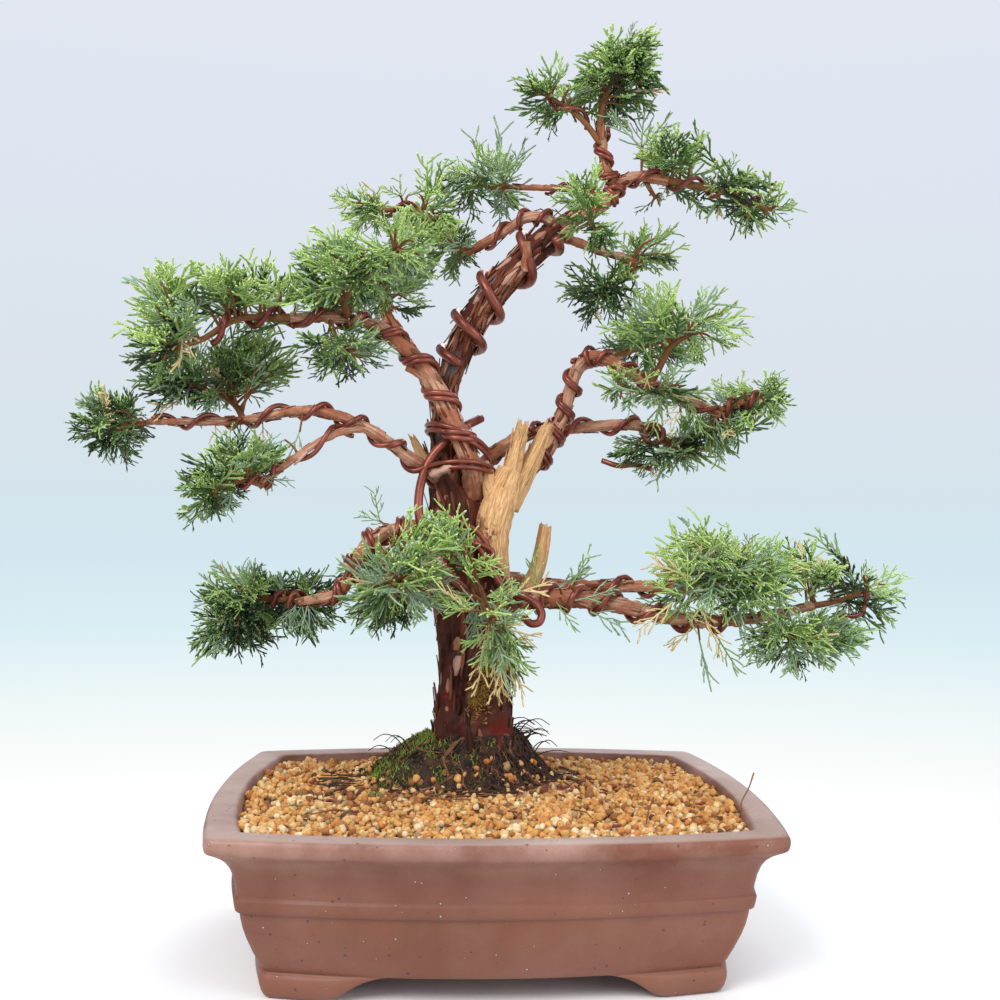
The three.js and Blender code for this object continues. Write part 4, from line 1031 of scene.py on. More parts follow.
# wires that leave the limbs: their radius and their route
looseWires = [
    (3.4, [(-6, 44, 378), (-22, 30, 368), (-44, 26, 346), (-52, 24, 322), (-51, 20, 298), (-38, 17, 272),
           (-20, 13, 252), (0, 13, 238), (18, 24, 226)]),
    (2.2, [(-40, 24, 308), (-20, 16, 298), (-7, 15, 290), (5, 12, 268), (17, 14, 250), (24, 22, 238)]),
    (2.2, [(-42, 28, 303), (-22, 15, 293), (-10, 13, 284), (1, 11, 264), (13, 13, 246), (20, 22, 232)]),
    (1.9, [(-18, 16, 280), (-9, 11, 283), (2, 10, 277), (-3, 9, 269), (-15, 11, 270), (-20, 14, 277),
           (-12, 11, 285)]),
    (3.0, [(24, 2, 231), (30, 1, 226), (36, 2, 227), (38, 4, 233), (34, 7, 240), (25, 10, 245),
           (13, 14, 248), (0, 22, 246)]),
    (2.0, [(262, 14, 233), (276, 8, 234), (281, 6, 246), (280, 6, 264)]),
    (2.2, [(92, 76, 349), (104, 71, 345), (118, 70, 346), (130, 72, 343)]),
    (2.0, [(148, 66, 350), (158, 64, 354), (166, 66, 362)]),
]

# pale cut ends: middle, heading and radius
cutEnds = [
    ((24, 2, 231), (-0.75, 0.05, 0.65), 3.0), ((92, 76, 349), (-1, 0, 0.2), 2.2),
    ((280, 6, 264), (0, 0, 1), 2.0),
]
wireSides = 10
stepsPerTurn = {"coil": 22, "fork": 24}


def coilPath(limbPath, start, end, turns, radius, degrees):
    points, headings, radii = sampleLimb(limbPath, 12)
    frames = carryFrames(headings)
    perTurn = stepsPerTurn["coil"]
    count = turns * perTurn
    route = []
    for i in range(count + 1):
        share = lerp(start, end, i / count) * (len(points) - 1)
        k = min(int(share), len(points) - 2)
        blend = share - k
        angle = math.radians(degrees) - i / perTurn * 2 * math.pi
        reach = lerp(radii[k], radii[k + 1], blend) * 1.04 + radius + 0.3
        across, beside = (lerp(frames[k][j], frames[k + 1][j], blend) for j in (0, 1))
        point = lerp(points[k], points[k + 1], blend)
        point = point + across / np.linalg.norm(across) * reach * math.cos(angle)
        point = point + beside / np.linalg.norm(beside) * reach * math.sin(angle)
        route.append((*point, radius))
    return route


def forkPath(shift):
    perTurn = stepsPerTurn["fork"]
    count = forkCoils["turns"] * perTurn
    route = []
    for i in range(count + 1):
        x, y, z, halfX, halfY = lerp(np.array(forkCoils["low"]), np.array(forkCoils["high"]), i / count)
        angle = math.radians(90) - i / perTurn * 2 * math.pi
        tilt = forkCoils["tilt"] * math.cos(angle + 0.5 + 2.2 * i / count)
        spot = (x + halfX * math.cos(angle), y + halfY * math.sin(angle), z + tilt + shift)
        route.append((*spot, forkCoils["radius"]))
    return route


wireMeshes = []
for limb, start, end, turns, radius, degrees, twin in wires.values():
    path = trunkPath if limb == "trunk" else boughs[limb] if limb in boughs else masses[limb][0]
    wireMeshes.append(tubeMesh(coilPath(path, start, end, turns, radius, degrees), wireSides))
    if twin:
        # the second strand lies just past the first
        shift = 2.15 * radius / evenLimb(path, 5)[3][-1]
        beside = coilPath(path, start + shift, min(end + shift, 0.99), turns, radius, degrees)
        wireMeshes.append(tubeMesh(beside, wireSides))
for radius, route in looseWires:
    wireMeshes.append(tubeMesh([(*p, radius) for p in route], wireSides, 8))
for shift in (0, forkCoils["twin"]):
    wireMeshes.append(tubeMesh(forkPath(shift), wireSides))
ringTurn = np.linspace(-0.3, 2.1, 50) * 2 * math.pi
ringSkew = np.linspace(0, -7, 50)
x, y, z = endRings["middle"]
wireMeshes.append(tubeMesh(np.column_stack([
    x + endRings["reach"] * np.cos(ringTurn), y + 4 + ringSkew, z + endRings["reach"] * np.sin(ringTurn),
    np.full(50, endRings["radius"]),
]), wireSides))
wirePiece = joinLimbs("wires", wireMeshes, wireMetal)
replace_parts(wirePiece, *[name for name in wires if name.startswith("wire")])
tips = []
for middle, heading, radius in cutEnds:
    middle, heading = np.array(middle, float), np.array(heading) / np.linalg.norm(heading)
    route = [(*(middle - heading), radius * 0.93), (*(middle + heading * 0.4), radius * 0.93)]
    tips.append(tubeMesh(route, wireSides))
joinLimbs("cut_wire_ends", tips, cutMetal)
print("wires made:", len(wirePiece.data.polygons), "faces")


# The pot: bowed sides, a rounded lip, a hollow neck, a raised belt and feet with ogee ends

potShape = {
    "halfLength": 180, "halfDepth": 145, "sideBow": 17, "endBow": 12, "cornerRadius": 7,
    "sidePoints": 64, "endPoints": 52, "cornerPoints": 8,
    "footHeight": 17, "footInset": 34, "footFlat": 36, "footSweep": 40, "footWidth": 30,
    "hollowBottom": 42, "hollowFloor": 31,
    "body": [  # inset from the rim's edge and height
        (34, 17), (33, 17.9), (31.4, 21), (27.6, 30), (24.2, 39), (21.9, 46.5), (20.6, 53), (20.1, 56.6),
        (19.9, 57.2), (18.3, 57.9), (17.7, 58.6), (17.0, 62), (16.5, 65.4), (16.7, 66.4), (17.9, 67.2),
        (18.2, 68), (17.6, 73), (16.3, 79.5), (14.3, 85.4), (11.7, 89.8), (8.2, 93.2), (4.6, 95.6),
        (2.3, 97.0), (1.1, 98.0), (0.5, 99.4), (0.1, 101.5), (0, 104), (0.4, 106), (1.3, 107.2),
        (2.8, 107.9), (4.5, 108), (16.5, 107.8), (18.4, 107.2), (19.6, 106.0), (20.2, 104.4),
    ],
}


def potRing(inset, z):
    shape = potShape
    radius = shape["cornerRadius"]
    halfX, halfY = shape["halfLength"] - inset, shape["halfDepth"] - inset
    cx, cy = halfX - radius, halfY - radius
    rows = []
    sides = [
        ((-cx, -halfY), (cx, -halfY), shape["sideBow"], (0, -1), shape["sidePoints"], (cx, -cy), -90),
        ((halfX, -cy), (halfX, cy), shape["endBow"], (1, 0), shape["endPoints"], (cx, cy), 0),
        ((cx, halfY), (-cx, halfY), shape["sideBow"], (0, 1), shape["sidePoints"], (-cx, cy), 90),
        ((-halfX, cy), (-halfX, -cy), shape["endBow"], (-1, 0), shape["endPoints"], (-cx, -cy), 180),
    ]
    for start, end, bow, out, count, middle, degrees in sides:
        share = (np.arange(count) / count)[:, None]
        swell = bow * (1 - (2 * share - 1) ** 2)
        rows.append(lerp(np.array(start), np.array(end), share) + swell * np.array(out))
        angle = np.radians(degrees + 90 * np.arange(shape["cornerPoints"]) / shape["cornerPoints"])[:, None]
        rows.append(np.array(middle) + radius * np.hstack([np.cos(angle), np.sin(angle)]))
    flat = np.vstack(rows)
    return np.column_stack([flat, np.full(len(flat), float(z))])


def footRise(values, half):
    # height of the arch between two feet, along one side
    shape = potShape
    flatEnd, handle = half - shape["footFlat"], 0.4 * shape["footSweep"]
    sweepEnd, top = flatEnd - shape["footSweep"], shape["footHeight"]
    t = np.linspace(0, 1, 30)
    a, b, c, d = (1 - t) ** 3, 3 * (1 - t) ** 2 * t, 3 * (1 - t) * t ** 2, t ** 3
    along = a * flatEnd + (b + c) * (flatEnd - handle) + d * sweepEnd
    rise = c * 0.72 * top + d * top
    return np.interp(np.abs(values), along[::-1], rise[::-1])


def underside(ring):
    shape = potShape
    rise = np.maximum(footRise(ring[:, 0], shape["halfLength"] - shape["footInset"]),
                      footRise(ring[:, 1], shape["halfDepth"] - shape["footInset"]))
    return np.clip(rise, 0, shape["footHeight"])


def makePot():
    shape = potShape
    top, inset = shape["footHeight"], shape["footInset"]
    rings = [potRing(inset + shape["footWidth"] + 2, top)]
    for inward, level in ((shape["footWidth"], 0.94), (shape["footWidth"], 0.06), (shape["footWidth"] - 1, 0),
                          (2.6, 0), (1.2, 0.03)):
        ring = potRing(inset + inward, 0)
        low = underside(ring)
        ring[:, 2] = low + (top - low) * level
        rings.append(ring)
    # the outside of the feet swells a little
    for swell, level in ((0.2, 0.1), (1.6, 0.28), (2.7, 0.55), (2.9, 0.8), (1.6, 0.96)):
        inner, outer = potRing(inset, 0), potRing(inset - swell, 0)
        low = underside(inner)
        ring = lerp(inner, outer, (1 - low / top)[:, None])
        ring[:, 2] = low + (top - low) * level
        rings.append(ring)
    rings += [potRing(*level) for level in shape["body"]]
    rings += [potRing(22, 98), potRing(shape["hollowBottom"], shape["hollowFloor"])]
    points = np.vstack(rings)
    quads, fans = ringFaces(len(rings), len(rings[0]))
    middle = np.array([[0, 0, top], [0, 0, shape["hollowFloor"]]], float)
    # the clay isn't quite even
    points[:, :2] *= 1 + 0.0012 * noiseAt(points, (60, 60, 30))[:, None]
    piece = addMesh("clay_pot", np.vstack([points, middle]), [quads, fans], clay)
    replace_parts(piece, "pot")
    return piece


makePot()
print("pot made")


# Grit, the root mound, moss and roots

soilTop = 103
heap = {"front": 3, "hump": 2, "wave": 15}  # the grit's slope and its low humps
mound = {"middle": (-19, 50), "spread": (72, 48), "height": 38, "flat": 30, "rings": 60, "sides": 170,
         "tufts": 5200}
gritTones = {  # plain colour, share of the grains
    "ochre": (srgb(222, 164, 92), 0.36), "orange": (srgb(210, 140, 74), 0.17),
    "tan": (srgb(232, 188, 126), 0.25), "cream": (srgb(242, 216, 170), 0.06),
    "grey": (srgb(176, 144, 104), 0.03), "brown": (srgb(150, 98, 56), 0.06),
    "rust": (srgb(184, 114, 60), 0.05), "dark": (srgb(98, 66, 40), 0.02),
}
grainLook = {
    "step": 4.7, "stray": 1.3, "rise": (-0.8, 1.0),  # mm: the bed's rows
    "loose": 1300, "looseRise": (2.0, 3.6),  # grains that lie on the bed
    "radius": 2.6, "sizeSpread": 0.2, "stretch": (0.7, 1.22), "shapes": 7, "lumps": (0.72, 1.18),
}


def gritBase():
    edge = potRing(20.6, soilTop - 4)
    rings = [potRing(potShape["hollowBottom"] + 0.5, potShape["hollowFloor"] + 0.5), potRing(24, 90)]
    for share in (1, 0.985, 0.95, 0.9, 0.82, 0.72, 0.6, 0.48, 0.36, 0.24, 0.12, 0.03):
        rings.append(edge * [share, share, 1])
    points = np.vstack(rings)
    points[3 * len(edge):, 2] = gritLevel(points[3 * len(edge):]) - 4
    quads, fans = ringFaces(len(rings), len(edge))
    middle = np.array([[0, 0, potShape["hollowFloor"] + 0.5], [0, 0, soilTop - 4]])
    # the bed shows dark between the grains: painted shade in the gaps
    earthAndShade = makeCrumbly("grit bed painted shade", srgb(46, 30, 19), srgb(98, 66, 38), 160.0, 1.0)
    piece = addMesh("grit_bed_painted_shade", np.vstack([points, middle]), [quads, fans], earthAndShade)
    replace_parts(piece, "grit")


def roundGrain():
    # an octahedron with each face in four, pushed out to a ball: 18 corners, 32 faces
    corners = [(1, 0, 0), (-1, 0, 0), (0, 1, 0), (0, -1, 0), (0, 0, 1), (0, 0, -1)]
    faces = [(0, 2, 4), (2, 1, 4), (1, 3, 4), (3, 0, 4), (2, 0, 5), (1, 2, 5), (3, 1, 5), (0, 3, 5)]
    points, index, halves = [np.array(c, float) for c in corners], [], {}

    def half(a, b):
        key = (min(a, b), max(a, b))
        if key not in halves:
            middle = points[a] + points[b]
            points.append(middle / np.linalg.norm(middle))
            halves[key] = len(points) - 1
        return halves[key]

    for a, b, c in faces:
        ab, bc, ca = half(a, b), half(b, c), half(c, a)
        index += [(a, ab, ca), (ab, b, bc), (ca, bc, c), (ab, bc, ca)]
    return np.array(points), np.array(index)


def randomFrames(rng, count):
    # evenly spread turns in space, as matrices
    q = rng.normal(size=(count, 4))
    w, x, y, z = (q / np.linalg.norm(q, axis=1)[:, None]).T
    return np.stack([
        np.stack([1 - 2 * (y * y + z * z), 2 * (x * y - z * w), 2 * (x * z + y * w)], axis=1),
        np.stack([2 * (x * y + z * w), 1 - 2 * (x * x + z * z), 2 * (y * z - x * w)], axis=1),
        np.stack([2 * (x * z - y * w), 2 * (y * z + x * w), 1 - 2 * (x * x + y * y)], axis=1),
    ], axis=1)


def insideRing(spots, inset):
    # whether flat points lie inside the bowed rectangle
    shape = potShape
    halfX, halfY = shape["halfLength"] - inset, shape["halfDepth"] - inset
    x, y = spots[:, 0], spots[:, 1]
    limitY = halfY + shape["sideBow"] * (1 - (x / halfX) ** 2)
    limitX = halfX + shape["endBow"] * (1 - (y / halfY) ** 2)
    return (np.abs(x) < limitX) & (np.abs(y) < limitY)


def moundEdge(angle):
    # how far its outline swells or shrinks at each angle
    return 1 + 0.07 * np.sin(3 * angle) + 0.05 * np.sin(5 * angle + 1)


def moundShare(spots):
    # 0 at the mound's middle, 1 at its edge
    away = (spots[:, :2] - mound["middle"]) / mound["spread"]
    return np.linalg.norm(away, axis=1) / moundEdge(np.arctan2(away[:, 1], away[:, 0]))


def moundHeight(spots):
    # it leans against the trunk and falls to nothing at its edge
    away = np.hypot(spots[:, 0] - trunkPath[0][0], spots[:, 1] - trunkPath[0][1])
    edge = away / np.maximum(moundShare(spots), 0.2)
    share = (away - mound["flat"]) / np.maximum(edge - mound["flat"], 6)
    return mound["height"] * np.interp(share, [0, 0.2, 0.5, 0.8, 1], [1, 0.9, 0.56, 0.22, 0])


def gritLevel(spots):
    # heaped towards the front, sunk at the back, low humps between, level by the mound
    x, y = spots[:, 0], spots[:, 1]
    free = np.clip((moundShare(spots) - 1.1) / 0.6, 0, 1)
    free = free * free * (3 - 2 * free)
    humps = heap["hump"] * np.sin(x / heap["wave"]) * np.cos(y / heap["wave"])
    return soilTop + free * (humps - heap["front"] * y / potShape["halfDepth"])


def copyMesh(points, faces, seats, frames, scales):
    # many turned and sized copies of one small mesh, as arrays
    placed = np.einsum("nij,vj->nvi", frames, points) if np.ndim(scales) < 2 else np.einsum(
        "nij,nvj->nvi", frames, points[None] * scales[:, None, :])
    if np.ndim(scales) < 2:
        placed = placed * np.asarray(scales)[:, None, None]
    placed = placed + seats[:, None, :]
    index = faces[None] + (np.arange(len(seats)) * len(points))[:, None, None]
    return placed.reshape(-1, 3), index.reshape(-1, faces.shape[1])


def grainTones(rng, spots):
    # the tone of each grain, as its place in gritTones
    names, count = list(gritTones), len(spots)
    shares = np.array([share for _, share in gritTones.values()])
    pick = rng.choice(len(shares), count, p=shares / shares.sum())
    # pale grains gather along the front edge
    nearEdge = (spots[:, 1] < -105 + 8 * np.sin(spots[:, 0] / 23)) & (rng.random(count) < 0.14)
    pick[nearEdge] = names.index("cream")
    # and brown and dark ones to the left of the mound and in front of it
    darkPatch = np.hypot((spots[:, 0] + 80) / 62, (spots[:, 1] + 12) / 46) < rng.uniform(0.3, 1.3, count)
    pick[darkPatch & (rng.random(count) < 0.42)] = names.index("brown")
    pick[darkPatch & (rng.random(count) < 0.12)] = names.index("dark")
    return pick


def makeGrains():
    rng = np.random.default_rng(5)
    look = grainLook
    step, stray, loose = look["step"], look["stray"], look["loose"]
    x, y = np.meshgrid(np.arange(-175, 176, step), np.arange(-145, 146, step * 0.87))
    x = x + (np.arange(len(x)) % 2 * step / 2)[:, None]
    bed = np.column_stack([x.ravel(), y.ravel()]) + rng.uniform(-stray, stray, (x.size, 2))
    top = np.column_stack([rng.uniform(-175, 175, loose), rng.uniform(-145, 145, loose)])
    spots = np.vstack([bed, top])
    rise = np.concatenate([rng.uniform(*look["rise"], len(bed)), rng.uniform(*look["looseRise"], loose)])
    keep = insideRing(spots, 22.5) & (moundShare(spots) > rng.uniform(0.8, 0.95, len(spots)))
    spots, rise = spots[keep], rise[keep]
    level = np.maximum(gritLevel(spots), soilTop - 0.5 + moundHeight(spots))
    seats = np.column_stack([spots, level - 2.2 + rise])
    count = len(seats)
    sizes = look["radius"] * rng.lognormal(0, look["sizeSpread"], count)[:, None]
    sizes = sizes * rng.uniform(*look["stretch"], (count, 3))
    frames = randomFrames(rng, count)
    pick = grainTones(rng, spots)
    ball, faces = roundGrain()
    shapes = [ball * rng.uniform(*look["lumps"], (len(ball), 1)) for _ in range(look["shapes"])]
    which = rng.integers(0, len(shapes), count)
    for k, (tone, (colour, _)) in enumerate(gritTones.items()):
        material = makeCrumbly("grit " + tone, colour, toned(colour, 0.62), 420.0, 0.4)
        skins, indexes, start = [], [], 0
        for number, shape in enumerate(shapes):
            chosen = (pick == k) & (which == number)
            skin, index = copyMesh(shape, faces, seats[chosen], frames[chosen], sizes[chosen])
            skins.append(skin)
            indexes.append(index + start)
            start += len(skin)
        piece = addMesh("grit_" + tone, np.vstack(skins), [np.vstack(indexes)], material)
        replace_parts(piece, "grit")


def moundSpots(share, angle):
    # flat spots under the mound: share 1 is its edge
    x = mound["middle"][0] + mound["spread"][0] * share * moundEdge(angle) * np.cos(angle)
    y = mound["middle"][1] + mound["spread"][1] * share * moundEdge(angle) * np.sin(angle)
    return np.column_stack([x, y, np.full(len(x), soilTop - 1.5)])


def moundPoint(share, angle):
    spots = moundSpots(share, angle)
    spots[:, 2] += moundHeight(spots)
    return spots


def makeMound():
    angle = np.arange(mound["sides"]) / mound["sides"] * 2 * math.pi
    rings = [moundSpots(share, angle) for share in np.linspace(1.03, 0.05, mound["rings"])]
    points = np.vstack(rings)
    lumps = moundHeight(points) + 3.6 * noiseAt(points, (15, 15, 40)) + 2.2 * noiseAt(points, (5, 5, 9))
    points[:, 2] += lumps
    points[:, :2] += 1.5 * np.column_stack([noiseAt(points, (7, 7, 7)), noiseAt(points + 50, (7, 7, 7))])
    quads, fans = ringFaces(len(rings), mound["sides"])
    low = [mound["middle"][0], mound["middle"][1], soilTop - 6]
    high = [mound["middle"][0], mound["middle"][1], soilTop + mound["height"]]
    earthAndShade = makeCrumbly("root mound", srgb(18, 12, 9), srgb(72, 50, 32), 110.0, 2.2)
    points = np.vstack([points, [low, high]])
    piece = addMesh("root_mound_earth", points, [quads, fans], earthAndShade)
    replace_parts(piece, "root_mound")


def standingFrames(lean, turn):
    # matrices that stand upright but for their lean, each turned its own way
    up = np.column_stack([lean, np.ones(len(lean))])
    up /= np.linalg.norm(up, axis=1)[:, None]
    ahead = np.column_stack([np.cos(turn), np.sin(turn), np.zeros(len(turn))])
    ahead -= up * (ahead * up).sum(axis=1)[:, None]
    ahead /= np.linalg.norm(ahead, axis=1)[:, None]
    return np.stack([ahead, np.cross(up, ahead), up], axis=2)


# one spike of moss: three corners at its foot and its tip, in mm
mossSpike = np.array([(0.55, 0, 0), (-0.3, 0.5, 0), (-0.3, -0.5, 0), (0.35, 0.1, 2.9)])
mossFaces = np.array([(0, 1, 3), (1, 2, 3), (2, 0, 3)])


def moundMoss(rng):
    # short tufts over the mound, green to the left and front, brown elsewhere
    count = mound["tufts"]
    share, angle = np.sqrt(rng.uniform(0.1, 1.1, count)), rng.uniform(0, 2 * math.pi, count)
    seats = moundPoint(share, angle) + rng.normal(0, 0.8, (count, 3)) * [1, 1, 0.4]
    green = np.cos(angle + 2.6) * 0.5 + 0.9 * noiseAt(seats, (13, 13, 13)) + rng.normal(-0.12, 0.1, count)
    lean = rng.normal(0, 0.5, (count, 2))
    frames = standingFrames(lean, rng.uniform(0, 2 * math.pi, count))
    sizes = rng.uniform(0.7, 1.5, count)
    tones = {
        "green": (green > 0.2, srgb(112, 132, 46)),
        "olive": ((green <= 0.2) & (green > 0.02), srgb(104, 92, 42)),
        "brown": (green <= 0.02, srgb(44, 29, 20)),
    }
    for tone, (chosen, colour) in tones.items():
        material = newMaterial("moss " + tone, colour, 0.95)[0]
        skin, index = copyMesh(mossSpike, mossFaces, seats[chosen], frames[chosen], sizes[chosen])
        addMesh("moss_" + tone, skin, [index], material, smooth=False)


def trunkMoss(rng):
    # clumps of old moss that hang in the bark of the trunk's front
    count = oldMoss["tufts"]
    spots = np.array(oldMoss["at"])[rng.integers(0, len(oldMoss["at"]), count)]
    spots = spots + rng.normal(0, 1, (count, 3)) * oldMoss["spread"]
    stem = np.array(trunkPath[:4])
    centre = np.column_stack([np.interp(spots[:, 2], stem[:, 2], stem[:, k]) for k in (0, 1, 3)])
    angle = -math.pi / 2 + (spots[:, 0] - centre[:, 0]) / centre[:, 2]
    out = np.column_stack([np.cos(angle), np.sin(angle), np.zeros(count)])
    seats = np.column_stack([centre[:, :2], spots[:, 2]])
    seats = seats + out * (centre[:, 2:] + rng.uniform(0, 2, (count, 1)))
    up = unit(out + rng.normal(0, 0.5, (count, 3)))
    ahead = unit(np.cross(up, [0, 0, 1.0]))
    frames = np.stack([ahead, np.cross(up, ahead), up], axis=2)
    skin, index = copyMesh(mossSpike, mossFaces, seats, frames, rng.uniform(*oldMoss["size"], count))
    material = newMaterial("old moss", srgb(150, 112, 48), 0.95)[0]
    addMesh("moss_on_trunk", skin, [index], material, smooth=False)


rootCounts = {"creeping": 300, "arching": 26, "lying": 18}


def creepingRoots(rng):
    # over the mound and out on to the grit; every seventh is a paler brown
    strands, pale = [], []
    for k in range(rootCounts["creeping"]):
        start = rng.uniform(-1.7, 1.1) if k % 4 else rng.uniform(-math.pi, math.pi)
        share = rng.uniform(0.42, 0.95)
        wander, out, radius = start, share, rng.uniform(0.3, 1.0)  # angle, share of the mound, mm
        route = []
        for step in range(rng.integers(4, 9)):
            spot = moundPoint(np.array([out]), np.array([wander]))[0]
            lift = radius + rng.uniform(0.2, 2.6)
            route.append((*spot[:2], spot[2] + lift + (1.2 if out > 1 else 0), radius * (1 - 0.07 * step)))
            wander += rng.normal(0.04, 0.16)
            out += rng.uniform(0.0, 0.11)
        if insideRing(np.array(route)[:, :2], 24).all():
            (pale if k % 7 == 3 else strands).append(tubeMesh(route, 5, 3))
    return strands, pale


def archingRoots(rng):
    # thin ones that arch out into the air, most of them to the right
    strands = []
    for _ in range(rootCounts["arching"]):
        angle = rng.choice([rng.uniform(-0.6, 0.3), rng.uniform(2.6, 3.8)], p=[0.7, 0.3])
        start = moundPoint(np.array([rng.uniform(0.5, 0.8)]), np.array([angle]))[0]
        reach, rise = rng.uniform(12, 30), rng.uniform(2, 11)
        ahead = np.array([math.cos(angle), math.sin(angle), 0])
        route = [(*(start + ahead * reach * t + [0, 0, 4 * rise * t * (1 - 0.8 * t)]), 0.5 - 0.2 * t)
                 for t in (0, 0.35, 0.7, 1)]
        strands.append(tubeMesh(route, 4, 3))
    return strands


def lyingRoots(rng):
    # some that lie on the grit to the left
    strands = []
    for _ in range(rootCounts["lying"]):
        spot = np.array([rng.uniform(-112, -84), rng.uniform(8, 58)])
        heading = rng.uniform(2.6, 3.7)
        route = []
        for _ in range(rng.integers(3, 6)):
            route.append((*spot, gritLevel(spot[None])[0] + 2.6, 0.45))
            spot = spot + rng.uniform(4, 9) * np.array([math.cos(heading), math.sin(heading)])
            heading += rng.normal(0, 0.4)
        if insideRing(np.array(route)[:, :2], 26).all():
            strands.append(tubeMesh(route, 4, 3))
    return strands


def makeRoots():
    rng = np.random.default_rng(21)
    strands, pale = creepingRoots(rng)
    strands += archingRoots(rng)
    strands += lyingRoots(rng)
    dark = makeCrumbly("fibrous roots", srgb(24, 16, 13), srgb(84, 54, 38), 240.0, 0.3)
    joinLimbs("fibrous_roots", strands, dark)
    brown = makeCrumbly("brown roots", srgb(74, 44, 30), srgb(142, 92, 62), 240.0, 0.3)
    joinLimbs("brown_roots", pale, brown)


# dry twigs that stand and lie on the grit
dryTwigs = [
    [(168, -64, 104), (170, -62, 112), (175, -60, 120), (179, -58, 130)],
    [(97, -97, 103), (99, -95, 112), (103, -92, 121)],
    [(118, -98, 107), (132, -92, 108), (150, -88, 107)],
    [(-44, -30, 107), (-30, -38, 108), (-14, -36, 107)],
    [(52, -66, 107), (60, -78, 108), (63, -92, 107)],
    [(-120, -78, 107), (-104, -74, 109), (-90, -80, 107)],
]


# scraps on the grit: how many, their half length in mm and their colour
scraps = {
    "bark_flakes": (70, 3.0, srgb(112, 52, 38)), "leaf_scraps": (40, 1.7, srgb(86, 116, 52)),
    "straw_scraps": (46, 2.2, srgb(186, 152, 96)),
}


def makeDebris():
    rng = np.random.default_rng(33)
    flake = np.array([(-1, -0.45, 0), (0.9, -0.6, 0.1), (1.1, 0.4, 0), (-0.7, 0.6, 0.15),
                      (-1, -0.4, 0.35), (0.9, -0.5, 0.5), (1.0, 0.35, 0.4), (-0.7, 0.5, 0.5)])
    faces = np.array([(0, 3, 2, 1), (4, 5, 6, 7), (0, 1, 5, 4), (1, 2, 6, 5), (2, 3, 7, 6), (3, 0, 4, 7)])
    for name, (count, size, colour) in scraps.items():
        spots = np.column_stack([rng.uniform(-150, 150, count), rng.uniform(-120, 110, count)])
        if name == "bark_flakes":
            # over half of them lie to the right of the trunk
            spots[:40] = np.array([40, 20]) + rng.normal(0, 1, (40, 2)) * [26, 20]
        keep = insideRing(spots, 26) & (moundShare(spots) > 0.9)
        spots = spots[keep]
        turn = rng.uniform(0, 2 * math.pi, len(spots))
        frames = standingFrames(rng.normal(0, 0.3, (len(spots), 2)), turn)
        seats = np.column_stack([spots, gritLevel(spots) + 2.0])
        sizes = size * rng.uniform(0.6, 1.3, (len(spots), 3))
        skin, index = copyMesh(flake, faces, seats, frames, sizes)
        material = newMaterial(name.replace("_", " "), colour, 0.9)[0]
        addMesh(name, skin, [index], material, smooth=False)
    twigs = [tubeMesh([(*spot, 0.55) for spot in route], 4, 4) for route in dryTwigs]
    joinLimbs("dry_twigs", twigs, twigBark)


gritBase()
makeGrains()
makeMound()
mossRng = np.random.default_rng(9)
moundMoss(mossRng)
trunkMoss(mossRng)
makeRoots()
makeDebris()
print("grit, mound, moss and roots made")


# Foliage: branchlets leave each stem for points spread round the lobes, as in the part's source,
# and carry sprays of thin twiglets

growth = {
    "density": 0.0042,  # branchlets for each square millimetre of a lobe's middle sections
    "fewest": 8,  # in a lobe
    "reach": (0.42, 0.88),  # share of the lobe that the branchlets' tips reach
    "turn": 2.4,  # radians from one branchlet to the next
    "scatter": 0.3,
    "bend": 0.1,  # rise at the middle of a branchlet, as a share of its span
    "twigRadius": (1.15, 0.65),
    "stemShare": 0.75,  # of the stem's radius in the source
    "spraySeats": (0.36, 0.52, 0.66, 0.8, 0.92),
    "splay": 0.75,  # radians off the branchlet's line
    "limits": (0.84, 1.06),  # how far out in its lobe a branchlet's sprays may end
    "bias": 0.3,  # how far a branchlet's sprays all lean one way
    "tint": 0.15,  # how far its tone differs from the rest
    "tipGap": 9,  # mm between its end and the point it grows to
    "short": 30,  # mm; a branchlet under this length carries fewer sprays
    "lankShare": 2.2,  # of the mass's bluish share
    "splayShares": (0.7, 1.2), "outPull": 0.3, "lift": (0.1, 0.24), "roll": 0.45, "scales": (0.8, 1.15),
    "shorten": 0.82, "leeway": 1.06,  # for a spray that leaves its lobe
    "bareGap": 3.5,  # mm kept clear beside a stem that shows
    "slack": 7,  # mm past the solids' own box
    "clearance": 1.5,  # mm between a spray and a limb
    "sprayReach": 34,  # mm, a middling spray's length
    "pieceLimit": 190000,  # most triangles in one piece of leaves
}
sprayShapes = {
    "tight": {
        "templates": 9, "length": (28, 41), "cordRadius": 0.94, "axisRadius": 0.95, "twigletEvery": 3.6,
        "twigletLength": (11, 18.5), "twigletLean": (0.4, 0.8), "offPlane": 0.42,
        "budLength": (4.5, 9), "buds": 0.95,
    },
    "lank": {
        "templates": 6, "length": (33, 46), "cordRadius": 0.84, "axisRadius": 0.85, "twigletEvery": 5.2,
        "twigletLength": (14, 23), "twigletLean": (0.45, 0.85), "offPlane": 0.6,
        "budLength": (6, 11), "buds": 0.8,
    },
}
# stems that show in front of their sprays: from and to which share
bareStems = {
    "left_big": (0.1, 0.62), "top_right": (0.15, 0.4),
    "mid_right_far": (0.1, 0.7), "mid_right_upper": (0.3, 0.8),
    "low_right_tip": (0.2, 0.6), "low_left": (0.05, 0.4),
    "left_low": (0, 0.4), "left_tip": (0, 0.3), "apex_left": (0.4, 0.8),
    "apex": (0.1, 0.4), "front": (0.3, 0.6),
    "mid_right_low": (0, 0.7), "upper_left": (0.5, 0.9),
}
